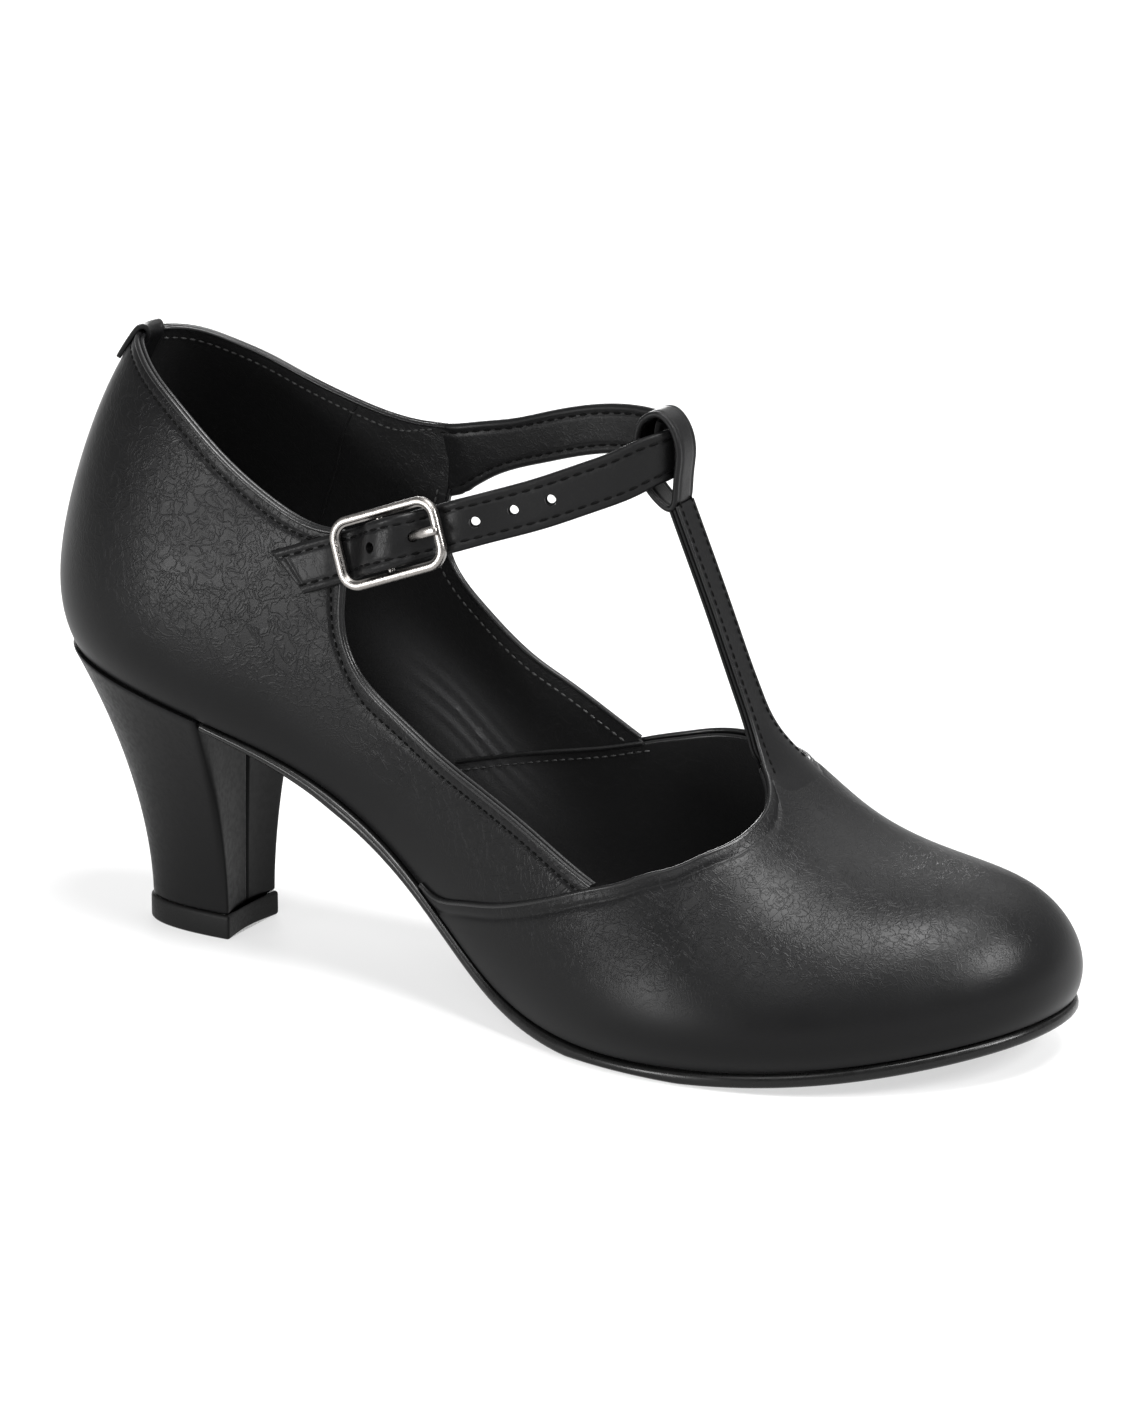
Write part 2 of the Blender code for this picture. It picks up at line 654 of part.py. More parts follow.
def heel_ring(side):
    """A closed loop from the middle of the breast along the outer side to the heel back and round."""
    middle = BREAST_STATIONS // 2
    breast = breast_line(side[-1], side[0], BREAST_STATIONS)
    return np.concatenate([breast[middle:-1], side, breast[1:middle]])


def heel_seat():
    """Side of the heel where it meets the upper: outer front corner, heel back, inner front corner."""
    share = np.linspace(0, 1, HEEL_STATIONS)
    outer = u_at(BREAST_X, True) * (1 - share)
    inner = 1 - (1 - u_at(BREAST_X, False)) * share
    x, y, nx, ny = plan(np.concatenate([outer, inner[1:]]))
    return np.stack([x + nx * HEEL_PROUD, y + ny * HEEL_PROUD], 1)


def heel_base(grow):
    """The D-shaped foot of the heel, from the outer front corner round the back."""
    turn = np.linspace(-math.pi / 2, math.pi / 2, 2 * HEEL_STATIONS - 1)
    x = BREAST_X + grow - (BREAST_X - HEEL_BACK_X + 2 * grow) * np.cos(turn) ** 0.75
    y = HEEL_BASE_Y + (HEEL_BASE_HALF + grow) * np.sign(turn) * np.abs(np.sin(turn)) ** 0.85
    return np.stack([x, y], 1)


def make_heel():
    seat = heel_ring(heel_seat())
    base = heel_ring(heel_base(0.0))
    seat_z = feather_z(seat[:, 0]) - CLEAR
    base_z = LIFT_HEIGHT + CLEAR
    loops = []
    for t in np.linspace(0, 1, HEEL_LEVELS):
        draw = 1 - (1 - t) ** HEEL_FLARE
        flat = seat + (base - seat) * draw
        loops.append(np.column_stack([flat, seat_z + (base_z - seat_z) * t]))
    return lofted("heel", loops, HEEL_BLACK)


def make_top_lift():
    edge = 0.5
    rows = [(0.0, -edge), (edge, 0.0), (LIFT_HEIGHT - edge, 0.0), (LIFT_HEIGHT, -edge)]
    loops = []
    for z, grow in rows:
        flat = heel_ring(heel_base(LIFT_LIP + grow))
        loops.append(np.column_stack([flat, np.full(len(flat), z)]))
    return lofted("top_lift", loops, SOLE_BLACK)


def buckle_axes():
    """The buckle's own axes: along the strap, across it, and out from the shoe."""
    run = np.asarray(BUCKLE_RUN)
    run = run / np.linalg.norm(run)
    up = np.array([0, BUCKLE_LEAN, 1.0])
    across = up - (up @ run) * run
    across /= np.linalg.norm(across)
    return run, across, np.cross(run, across)


def at_buckle(along, rise, across=0.0):
    run, wide, out = buckle_axes()
    return np.asarray(BUCKLE_SEAT) + along * run + rise * out + across * wide


def on_quarter(along, lift):
    """A point over the outer quarter, in line with the strap."""
    u, theta = dropped([at_buckle(along, 0.0)], True)[0]
    return last(u, theta, lift)


def make_ankle_strap():
    lift = QUARTER_FACE + CLEAR + STRAP_THICK / 2
    route = [row[:3] for row in ANKLE_ROUTE]
    leans = [row[3] for row in ANKLE_ROUTE]
    route += [tuple(at_buckle(along, rise)) for along, rise in BUCKLE_WEAVE]
    route += [tuple(on_quarter(along, lift + STRAP_REST)) for along in STRAP_END]
    leans += [BUCKLE_LEAN] * (len(route) - len(leans))
    rows = np.column_stack([np.asarray(route), leans])
    path = smooth_path(rows, STRAP_STATIONS)
    up = np.column_stack([np.zeros(len(path)), path[:, 3], np.ones(len(path))])
    run = chords(path[:, :3])
    widths = np.interp(run, [0, ROOT_TAPER], [STRAP_ROOT_WIDTH, STRAP_WIDTH])
    loops, ways = swept(path[:, :3], up, widths, STRAP_THICK, STRAP_EDGE)
    across = np.array([side for side, _ in strip_section(1.0, STRAP_THICK / 2, STRAP_EDGE)])
    for loop, way, done in zip(loops, ways, run):
        slant = ROOT_SLANT * max(0.0, 1 - done / SLANT_REACH)
        slant += STRAP_SLANT * max(0.0, 1 - (run[-1] - done) / SLANT_REACH)
        loop += np.clip(across, -1, 1)[:, None] * slant * way
    strap = lofted("ankle_strap", loops, STRAP_LEATHER)
    return combined(strap, strap_cutter(), 'DIFFERENCE')


def rod(mesh, middle, way, radius, length, sides=12):
    """A cylinder added to a bmesh, along a way."""
    turn = Vector((0, 0, 1)).rotation_difference(Vector(way)).to_matrix().to_4x4()
    made = bmesh.ops.create_cone(mesh, cap_ends=True, segments=sides, radius1=radius * MM,
                                 radius2=radius * MM, depth=length * MM)
    turn.translation = place(middle)
    bmesh.ops.transform(mesh, matrix=turn, verts=made["verts"])


def strap_cutter():
    """Round holes along the strap, and the slot where the prong comes through."""
    run, _, out = buckle_axes()
    mesh = bmesh.new()
    for hole in STRAP_HOLES:
        rod(mesh, hole, HOLE_WAY, HOLE_RADIUS, HOLE_DEPTH)
    rod(mesh, at_buckle(*WOVEN_HOLE), out - WOVEN_SLOPE * run, HOLE_RADIUS, HOLE_DEPTH)
    along, rise, slope = PRONG_SLOT
    slope = math.radians(slope)
    way = run * math.cos(slope) + out * math.sin(slope)
    rod(mesh, at_buckle(along, rise), way, PRONG_RADIUS + SLOT_PLAY, SLOT_LENGTH)
    return finish(mesh, "strap_holes", STRAP_LEATHER)


def make_t_strap():
    rows = smooth_path(T_STRAP, T_STRAP_STATIONS)
    up = np.tile([0.0, 1.0, 0.0], (len(rows), 1))
    loops, _ = swept(rows[:, :3], up, rows[:, 3], T_STRAP_THICK, T_STRAP_EDGE)
    strap = lofted("t_strap", loops, STRAP_LEATHER)
    ring = smooth_ring(LOOP, LOOP_STATIONS)
    middle = np.column_stack([ring[:, 0], np.full(len(ring), LOOP_Y), ring[:, 1]])
    ahead = np.roll(middle, -1, 0) - np.roll(middle, 1, 0)
    ahead /= np.linalg.norm(ahead, axis=1)[:, None]
    wide = np.array([0.0, 1.0, 0.0])
    section = strip_section(LOOP_WIDTH / 2, LOOP_THICK / 2, LOOP_EDGE)
    loops = [np.array([p + a * wide + b * np.cross(way, wide) for a, b in section])
             for p, way in zip(middle, ahead)]
    return combined(strap, lofted("loop", loops, STRAP_LEATHER, ring=True), 'UNION')


def rounded_rectangle(length, width, radius, count):
    """Points round a rectangle with round corners, lying in the strap's plane."""
    points = []
    for along, across, start in ((1, -1, -90), (1, 1, 0), (-1, 1, 90), (-1, -1, 180)):
        middle = (along * (length / 2 - radius), across * (width / 2 - radius))
        for angle in np.radians(np.linspace(start, start + 90, count)):
            points.append((middle[0] + radius * math.cos(angle), middle[1] + radius * math.sin(angle)))
    return points


def make_buckle_frame():
    edge, deep = BUCKLE_BAND / 2, BUCKLE_THICK / 2
    section = [(-edge, -0.5 * deep), (-0.5 * edge, -deep), (0.5 * edge, -deep), (edge, -0.5 * deep),
               (edge, 0.4 * deep), (0.4 * edge, deep), (-0.4 * edge, deep), (-edge, 0.4 * deep)]
    loops = []
    for inset, rise in section:
        shrink = BUCKLE_BAND / 2 + inset
        length, width = BUCKLE_LENGTH - 2 * shrink, BUCKLE_WIDTH - 2 * shrink
        outline = rounded_rectangle(length, width, BUCKLE_CORNER - shrink, CORNER_STEPS)
        loops.append(np.array([at_buckle(BUCKLE_SHIFT + a, BUCKLE_RISE + rise, b) for a, b in outline]))
    frame = lofted("buckle_frame", loops, NICKEL, ring=True)
    mesh = bmesh.new()
    rod(mesh, at_buckle(0, BAR_RISE), buckle_axes()[1], BAR_RADIUS, BUCKLE_WIDTH - BUCKLE_BAND)
    return combined(frame, finish(mesh, "centre_bar", NICKEL), 'UNION')


def hooked(rows, radius, first, last_angle, count):
    """Places along and above the strap that run to the bar and round it."""
    angles = np.radians(np.linspace(first, last_angle, count))
    return [(radius * math.cos(a), BAR_RISE + radius * math.sin(a)) for a in angles] + list(rows)


def make_buckle_prong():
    eye = BAR_RADIUS + EYE_PLAY + PRONG_RADIUS
    line = [at_buckle(a, r) for a, r in hooked(PRONG, eye, 165, 300, 7)]
    path = smooth_path(np.array(line), PRONG_STATIONS)
    across = buckle_axes()[1]
    loops, _ = swept(path, np.tile(across, (len(path), 1)), np.full(len(path), 2 * PRONG_RADIUS),
                     2 * PRONG_RADIUS, STRAP_EDGE)
    return lofted("buckle_prong", loops, NICKEL)


def make_buckle_tab():
    eye = BAR_RADIUS + EYE_PLAY + TAB_THICK / 2
    seat = QUARTER_FACE - WALL_THICK - CLEAR - TAB_THICK / 2
    line = [on_quarter(along, seat - TAB_PLAY) for along in TAB_ON_QUARTER]
    line += [at_buckle(a, r) for a, r in TAB]
    line += [at_buckle(a, r) for a, r in hooked([], eye, -65, 190, 11)]
    path = smooth_path(np.array(line), TAB_STATIONS)
    across = buckle_axes()[1]
    widths = np.full(len(path), TAB_WIDTH)
    loops, _ = swept(path, np.tile(across, (len(path), 1)), widths, TAB_THICK, TAB_EDGE)
    tab = lofted("buckle_tab", loops, STRAP_LEATHER)
    mesh = bmesh.new()
    rod(mesh, at_buckle(0, BAR_RISE), across, TAB_GAP, TAB_GAP, sides=16)
    return combined(tab, finish(mesh, "prong_gap", STRAP_LEATHER), 'DIFFERENCE')


def make_back_tab():
    """A short strip folded over the topline at the heel back."""
    outer_lift = QUARTER_FACE + CLEAR + BACK_TAB_PLAY + BACK_TAB_THICK / 2
    inner_lift = QUARTER_FACE - WALL_THICK - CLEAR - BACK_TAB_PLAY - BACK_TAB_THICK / 2
    middle, radius = (outer_lift + inner_lift) / 2, (outer_lift - inner_lift) / 2
    fold_z = BACK_TOP_Z - 1
    mesh = bmesh.new()
    grid = []
    for u in np.linspace(-BACK_TAB_REACH, BACK_TAB_REACH, BACK_TAB_COLUMNS):
        theta = theta_at(u, BACK_TOP_Z)
        rim, normal = last(u, theta, middle), last_normal(u, theta)
        rise = last(u, theta) - last(u, theta - RISE_STEP)
        rise = rise / np.linalg.norm(rise)
        outer_z = np.linspace(BACK_TAB_OUTER_Z, fold_z, 4)
        inner_z = np.linspace(fold_z, BACK_TAB_INNER_Z, 4)
        line = [last(u, theta_at(u, z), outer_lift) for z in outer_z]
        for a in np.radians(np.linspace(0, 180, 8)):
            line.append(rim + radius * (math.cos(a) * normal + math.sin(a) * rise))
        line += [last(u, theta_at(u, z), inner_lift) for z in inner_z]
        grid.append([mesh.verts.new(place(p)) for p in line])
    for left, right in zip(grid[:-1], grid[1:]):
        for j in range(len(left) - 1):
            mesh.faces.new((left[j], left[j + 1], right[j + 1], right[j]))
    return solidified(finish(mesh, "back_tab", STRAP_LEATHER, closed=False), BACK_TAB_THICK, 0)


for old in list(bpy.data.objects):
    bpy.data.objects.remove(old, do_unlink=True)
shoe = bpy.data.collections.new("dance_shoe")
helpers = bpy.data.collections.new("joining_shapes")
bpy.context.scene.collection.children.link(shoe)
bpy.context.scene.collection.children.link(helpers)

GRAIN_LEATHER = plain_finish("grain_leather", (0.018, 0.018, 0.019), 0.48)
STRAP_LEATHER = plain_finish("strap_leather", (0.016, 0.016, 0.017), 0.4)
LINING = plain_finish("lining", (0.008, 0.008, 0.009), 0.6)
SOLE_BLACK = plain_finish("sole_black", (0.012, 0.012, 0.012), 0.42)
HEEL_BLACK = plain_finish("heel_black", (0.018, 0.018, 0.019), 0.38)
NICKEL = plain_finish("nickel", (0.62, 0.6, 0.57), 0.25, 1.0)

make_outsole()
make_heel()
make_top_lift()
make_insole()
make_upper()
make_t_strap()
make_ankle_strap()
make_buckle_frame()
make_buckle_prong()
make_buckle_tab()
make_back_tab()
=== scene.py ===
# %% [markdown]
# # A T-strap dance shoe for the right foot
#
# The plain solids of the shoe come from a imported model. This lesson dresses them: it rebuilds each leather,
# rubber and metal piece on the same form at a finer grain, sews it, and lights it like a catalogue picture.
# A shoe is made on a last, a block shaped like a foot, so the lesson starts with a formula for the last and
# lays every piece of leather on it. That keeps the visible pieces exactly where the solids are.

# %% Load the solids
import json
import math

import bmesh
import bpy
import numpy as np
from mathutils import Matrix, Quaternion, Vector

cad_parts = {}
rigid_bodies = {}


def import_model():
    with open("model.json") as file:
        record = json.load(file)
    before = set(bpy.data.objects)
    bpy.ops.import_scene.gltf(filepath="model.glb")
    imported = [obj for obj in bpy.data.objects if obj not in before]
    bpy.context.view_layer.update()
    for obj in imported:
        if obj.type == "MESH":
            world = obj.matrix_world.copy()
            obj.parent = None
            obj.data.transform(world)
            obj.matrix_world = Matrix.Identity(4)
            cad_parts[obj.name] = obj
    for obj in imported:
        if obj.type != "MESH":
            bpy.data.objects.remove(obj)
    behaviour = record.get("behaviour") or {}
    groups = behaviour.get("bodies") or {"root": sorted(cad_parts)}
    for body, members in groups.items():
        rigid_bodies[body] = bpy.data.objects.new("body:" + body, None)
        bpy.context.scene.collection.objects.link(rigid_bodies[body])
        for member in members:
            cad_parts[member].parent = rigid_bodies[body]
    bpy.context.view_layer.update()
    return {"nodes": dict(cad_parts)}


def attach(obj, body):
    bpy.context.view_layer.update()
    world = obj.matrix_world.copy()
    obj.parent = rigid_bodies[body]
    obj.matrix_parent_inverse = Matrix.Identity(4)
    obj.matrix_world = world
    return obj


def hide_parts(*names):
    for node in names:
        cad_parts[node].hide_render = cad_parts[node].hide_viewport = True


for old in list(bpy.data.objects):
    bpy.data.objects.remove(old, do_unlink=True)
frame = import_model()
MM = 0.001
CENTRE = np.array([118.4, -2.3, 0.0])
print("solids:", ", ".join(sorted(frame["nodes"])))

# %% [markdown]
# ## Smooth lines through a few points
#
# A pattern cutter draws a smooth line through a few measured points. A natural cubic spline does the same
# here. Tables hold millimetres from the heel back: x to the toe, y to the inner side of the foot, z up.

# %% Splines


def spline(knots, values, at):
    """Natural cubic spline through values at knots, read at the given places."""
    knots = np.asarray(knots, float)
    values = np.asarray(values, float)
    at = np.asarray(at, float)
    columns = values.reshape(len(knots), -1)
    step = np.diff(knots)
    count = len(knots)
    system = np.eye(count)
    right = np.zeros_like(columns)
    for i in range(1, count - 1):
        system[i, i - 1:i + 2] = step[i - 1], 2 * (step[i - 1] + step[i]), step[i]
        ahead = (columns[i + 1] - columns[i]) / step[i]
        behind = (columns[i] - columns[i - 1]) / step[i - 1]
        right[i] = 6 * (ahead - behind)
    bend = np.linalg.solve(system, right)
    flat = at.ravel()
    i = np.clip(np.searchsorted(knots, flat) - 1, 0, count - 2)
    width = step[i][:, None]
    after = (flat - knots[i])[:, None]
    before = width - after
    out = (bend[i] * before ** 3 + bend[i + 1] * after ** 3) / (6 * width)
    out += (columns[i] / width - bend[i] * width / 6) * before
    out += (columns[i + 1] / width - bend[i + 1] * width / 6) * after
    return out.reshape(at.shape + values.shape[1:])


def column(rows, index, at):
    """One column of a table, read by its first column."""
    rows = np.asarray(rows, float)
    return spline(rows[:, 0], rows[:, index], at)


def chords(points, power=1.0):
    """Running length along a row of points."""
    steps = np.linalg.norm(np.diff(points, axis=0), axis=1) ** power
    return np.concatenate([[0], np.cumsum(steps)])


def evened(fine, count, closed=False):
    """Points at even steps along a fine line."""
    length = chords(fine)
    even = np.linspace(0, length[-1], count + closed)[:count]
    return np.stack([np.interp(even, length, fine[:, k]) for k in range(fine.shape[1])], 1)


def smooth_path(points, count):
    """A smooth open path through points, read at even steps."""
    points = np.asarray(points, float)
    run = chords(points)
    return evened(spline(run, points, np.linspace(0, run[-1], 12 * count)), count)


def smooth_ring(points, count, power=1.0, wrap=4):
    """A smooth closed path through points, read at even steps."""
    points = np.asarray(points, float)
    around = np.concatenate([points[-wrap:], points, points[:wrap + 1]])
    run = chords(around, power)
    fine = spline(run, around, np.linspace(run[wrap], run[wrap + len(points)], 12 * count))
    return evened(fine, count, closed=True)


def unit(vectors):
    return vectors / np.linalg.norm(vectors, axis=-1, keepdims=True)


print("a spline through 3 points, halfway up:", spline([0, 1, 2], [0.0, 1.0, 0.0], 0.5).round(3))

# %% [markdown]
# ## The last
#
# A last could be sculpted by hand, but then no seam could be placed on it by numbers. Here it is a formula of
# two values. `u` runs round the feather edge, where the upper meets the sole. `theta` climbs from that edge
# up to the ridge along the top of the foot. A third value, the lift, moves a point off the surface along its
# normal, so a layer of leather is the same formula with another lift.

# %% Tables of the last
OUTLINE = [
    (3.5, 0.5), (8, -12.5), (21, -21.5), (46, -24.5), (76, -23.5), (102, -26.5),
    (132, -36), (157, -42), (178, -42), (198, -36.5), (217, -24.5), (230, -9.5),
    (234, 5), (231, 18.5), (219, 29.5), (201, 36.5), (179, 37.5), (152, 32),
    (124, 22), (98, 17), (72, 18.5), (46, 21.5), (21, 20.5), (8, 13),
]
FEATHER = [
    (-5, 63), (3.5, 62), (26, 57.5), (50, 51.5), (74, 43.5), (100, 27.5), (123, 10),
    (144, 3.4), (166, 3), (188, 4.5), (212, 7.5), (235, 12),
]
RIDGE = [
    (20, -1.5, 138), (60, -1.5, 141), (92, -1.5, 139), (116, -1.5, 126), (132, -1, 106),
    (148, -0.5, 80), (164, 0.5, 62), (171, 1, 57), (181, 1.5, 48.5), (197, 2.5, 40.5),
    (212, 3.5, 38),
]
# x, bulge of the side wall, height of the bulge, sideways power, upward power
FULLNESS = [
    (3.5, 4, 20, 1, 1), (46, 3, 18, 0.9, 1), (100, 1, 14, 0.9, 1), (132, 1.5, 12, 0.95, 1),
    (166, 3, 11, 0.95, 0.95), (205, 3, 11, 0.85, 0.87), (235, 2, 11, 0.75, 0.87),
]
TOE_EASE_FROM, RIDGE_TOE_X = 158, 212
HEEL_EASE_FROM, RIDGE_HEEL_X = 72, 35
EASE_END_SLOPE = 0.15
LEVEL_RIDGE_X = 100
PLAN_COUNT = 1440
PLAN = smooth_ring(OUTLINE, PLAN_COUNT, power=0.7)
PLAN_U = np.arange(PLAN_COUNT) / PLAN_COUNT
TANGENT = unit(np.roll(PLAN, -1, 0) - np.roll(PLAN, 1, 0))
OUTWARD = np.stack([TANGENT[:, 1], -TANGENT[:, 0]], 1)
TIP = int(np.argmax(PLAN[:, 0]))
TIP_U, TIP_X = PLAN_U[TIP], PLAN[TIP, 0]
HEEL_X = PLAN[:, 0].min()
print("last from x", round(HEEL_X, 1), "to", round(TIP_X, 1), "mm; the toe tip is at u", round(TIP_U, 3))

# %% The last's surface


def plan(u):
    """Feather edge point and outward direction at u, a share of the way round."""
    return [np.interp(u, PLAN_U, values, period=1.0) for values in (*PLAN.T, *OUTWARD.T)]


def feather_z(x):
    return column(FEATHER, 1, x)


def eased(x, start, goal, tip):
    """x itself up to start, then slowing so that it reaches goal at the tip."""
    t = np.clip((x - start) / (tip - start), 0, 1)
    span = tip - start
    bent = (t ** 3 - 2 * t ** 2 + t) * span + (3 * t ** 2 - 2 * t ** 3) * (goal - start)
    bent += (t ** 3 - t ** 2) * EASE_END_SLOPE * span
    return np.where(x < start, x, start + bent)


def ridge_x(x):
    """Where on the ridge the section from feather point x ends."""
    toe = eased(x, TOE_EASE_FROM, RIDGE_TOE_X, TIP_X)
    mirror = 2 * HEEL_EASE_FROM
    heel = mirror - eased(mirror - x, HEEL_EASE_FROM, mirror - RIDGE_HEEL_X, mirror - HEEL_X)
    return np.where(x < HEEL_EASE_FROM, heel, toe)


def last_face(u, theta):
    """The last's surface itself."""
    fx, fy, nx, ny = plan(u)
    rx = ridge_x(fx)
    ry = column(RIDGE, 1, rx)
    rz = column(RIDGE, 2, rx)
    slope = column(RIDGE, 2, rx + 0.5) - column(RIDGE, 2, rx - 0.5)
    slope = np.where(rx < LEVEL_RIDGE_X, 0.0, slope)
    bulge, bulge_height, sideways, upward = (column(FULLNESS, k, fx) for k in (1, 2, 3, 4))
    foot_z = feather_z(fx)
    cos = np.clip(np.cos(theta), 0, 1)
    across = 1 - cos ** sideways
    px = fx + (rx - fx) * across
    py = fy + (ry - fy) * across
    roof = rz + slope * (px - rx)
    drop = rz + slope * (fx - rx) - foot_z
    z = roof - drop * (1 - np.sin(theta) ** upward)
    level = np.maximum(z - foot_z, 0) / bulge_height
    swell = bulge * level * np.exp(1 - level) * cos
    return np.stack([px + nx * swell, py + ny * swell, z], -1)


def last_normal(u, theta):
    du, dt = 1e-3, 1e-2
    along = last_face(u + du, theta) - last_face(u - du, theta)
    up = last_face(u, np.minimum(theta + dt, math.pi / 2)) - last_face(u, np.maximum(theta - dt, 0))
    return unit(np.cross(along, up))


def last(u, theta, lift=0.0):
    """A point on the last, lifted off it along its normal."""
    u, theta = np.broadcast_arrays(np.asarray(u, float), np.asarray(theta, float))
    return last_face(u, theta) + np.asarray(lift)[..., None] * last_normal(u, theta)


def u_at(x, outer):
    """The place round the feather edge at x, on the outer or inner side."""
    if outer:
        return np.interp(x, PLAN[:TIP + 1, 0], PLAN_U[:TIP + 1])
    side = np.concatenate([PLAN[TIP:], PLAN[:1]])[::-1]
    return np.interp(x, side[:, 0], np.concatenate([PLAN_U[TIP:], [1.0]])[::-1])


def side_cloud(low, high):
    """Many points of one side of the last, with their u and theta."""
    u, theta = np.meshgrid(np.linspace(low, high, 240), np.linspace(0, math.pi / 2, 90), indexing="ij")
    return last(u, theta).reshape(-1, 3), np.stack([u.ravel(), theta.ravel()], 1)


CLOUDS = {True: side_cloud(0.0, TIP_U), False: side_cloud(TIP_U, 1.0)}


def dropped(points, outer):
    """u and theta of the points of the last nearest to the given points."""
    points = np.asarray(points, float)
    low, high = (0.0, TIP_U) if outer else (TIP_U, 1.0)
    cloud, pairs = CLOUDS[outer]
    found = np.stack([pairs[np.argmin(((cloud - p) ** 2).sum(1))] for p in points])
    step = 1e-3
    for _ in range(6):
        here = last(found[:, 0], found[:, 1])
        by_u = (last(found[:, 0] + step, found[:, 1]) - here) / step
        climb = np.maximum(found[:, 1], step)
        by_theta = (last(found[:, 0], climb) - last(found[:, 0], climb - step)) / step
        for k, miss in enumerate(points - here):
            jacobian = np.stack([by_u[k], by_theta[k]], 1)
            found[k] += np.linalg.lstsq(jacobian, miss, rcond=None)[0]
        found[:, 0] = np.clip(found[:, 0], low, high)
        found[:, 1] = np.clip(found[:, 1], 0, math.pi / 2)
    return found


def theta_at(u, z):
    """The theta at which the section at u reaches height z."""
    steps = np.linspace(0, math.pi / 2, 400)
    return np.interp(z, last(np.full(400, u), steps)[:, 2], steps)


print("instep height over the throat:", last(u_at(171.0, True), math.pi / 2).round(1))

# %% [markdown]
# ## Small Blender helpers
#
# A mesh is a list of points and a list of faces. Every piece below is a grid of points: rows of leather on
# the last, or rings round a strap. Two helpers turn grids into objects, and a third turns live modifiers into
# a plain mesh. Each finished piece rides on the shoe's one body and hides any solid that it stands for.

# %% Mesh helpers
SMOOTH_ANGLE = math.radians(42)


def to_frame(points):
    """Table millimetres to the shared frame in metres."""
    return (np.asarray(points, float).reshape(-1, 3) - CENTRE) * MM


def grid_faces(lines, points, close_lines=False, close_points=False):
    """Faces of a grid stored line by line."""
    faces = []
    for i in range(lines if close_lines else lines - 1):
        a, b = i * points, ((i + 1) % lines) * points
        for j in range(points if close_points else points - 1):
            k = (j + 1) % points
            faces.append((a + j, b + j, b + k, a + k))
    return faces


def capped(loops, points):
    """Faces that close the first and last loop by joining points across it."""
    faces = []
    for first, turned in ((0, False), ((loops - 1) * points, True)):
        for i in range(points // 2):
            ring = [i, i + 1, points - i - 1, (points - i) % points]
            ring = [first + v for n, v in enumerate(ring) if v not in ring[:n]]
            if len(ring) > 2:
                faces.append(tuple(ring[::-1] if turned else ring))
    return faces


def piece(name, points, faces, material, values=None, weld=0.0, outward=True):
    """An object from points in table millimetres, with one number per point for its finish."""
    mesh = bpy.data.meshes.new(name)
    mesh.from_pydata(to_frame(points).tolist(), [], faces)
    for key, numbers in (values or {}).items():
        store = mesh.attributes.new(key, 'FLOAT', 'POINT')
        store.data.foreach_set("value", np.asarray(numbers, np.float32).ravel())
    shape = bmesh.new()
    shape.from_mesh(mesh)
    if weld:
        bmesh.ops.remove_doubles(shape, verts=shape.verts, dist=weld * MM)
    if outward:
        bmesh.ops.recalc_face_normals(shape, faces=shape.faces)
    shape.to_mesh(mesh)
    shape.free()
    mesh.shade_smooth()
    mesh.set_sharp_from_angle(angle=SMOOTH_ANGLE)
    mesh.materials.append(material)
    made = bpy.data.objects.new(name, mesh)
    bpy.context.scene.collection.objects.link(made)
    return made


def plain(made):
    """Turn an object's modifiers into a plain mesh."""
    bpy.context.view_layer.update()
    graph = bpy.context.evaluated_depsgraph_get()
    mesh = bpy.data.meshes.new_from_object(made.evaluated_get(graph))
    made.modifiers.clear()
    made.data = mesh
    return made


def thickened(made, thickness, outward=-1.0):
    wall = made.modifiers.new("wall", 'SOLIDIFY')
    wall.thickness = thickness * MM
    wall.offset = outward
    wall.use_even_offset = True
    return plain(made)


def settle(made, slot, *nodes):
    """Let a finished piece ride on the shoe and stand for its solids."""
    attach(made, "root")
    if nodes:
        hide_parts(*nodes)
    made.data.calc_loop_triangles()
    print(made.name, "has", len(made.data.loop_triangles), "triangles")
    return made


# %% [markdown]
# ## Black leather with an embossed grain
#
# The upper is black leather pressed with curly raised wrinkles. A photograph of leather could be wrapped
# round it, but it would stretch and repeat. Two layers of Voronoi cells do better. In one the height rises in
# two thin lines, one on each side of a cell border, and in the other in a single line along the border. Noise
# bends the cells and lets one layer give way to the other. Coordinates are the object's own, in metres, so a
# scale of 330 gives cells of about 3 mm. Two numbers are stored on each point. `grain` fades the wrinkles
# near the sole and the heel back, where the leather is pulled tight over the last. The other is painted
# light:
# it makes the lining paler over the arch, a painted pool of the light that falls in there through the
# opening.

# %% Leather materials


def new_material(name, colour, roughness, specular=0.5):
    material = bpy.data.materials.new(name)
    material.use_nodes = True
    shader = material.node_tree.nodes["Principled BSDF"]
    shader.inputs["Base Color"].default_value = (*colour, 1.0)
    shader.inputs["Roughness"].default_value = roughness
    shader.inputs["Specular IOR Level"].default_value = specular
    return material, material.node_tree, shader


def add(tree, kind, inputs=None, **settings):
    """A node with its settings, its constant inputs and its links."""
    node = tree.nodes.new(kind)
    for key, value in settings.items():
        setattr(node, key, value)
    for key, value in (inputs or {}).items():
        if isinstance(value, bpy.types.NodeSocket):
            tree.links.new(value, node.inputs[key])
        else:
            node.inputs[key].default_value = value
    return node


def math_node(tree, operation, a, b):
    return add(tree, "ShaderNodeMath", {0: a, 1: b}, operation=operation).outputs[0]


def ramp(tree, value, low, high, to_low=0.0, to_high=1.0):
    node = add(tree, "ShaderNodeMapRange", {"Value": value, "From Min": low, "From Max": high,
                                            "To Min": to_low, "To Max": to_high})
    node.interpolation_type = 'SMOOTHSTEP'
    return node.outputs["Result"]


def noise_of(tree, spot, scale, detail):
    return add(tree, "ShaderNodeTexNoise", {"Vector": spot, "Scale": scale, "Detail": detail}).outputs["Fac"]


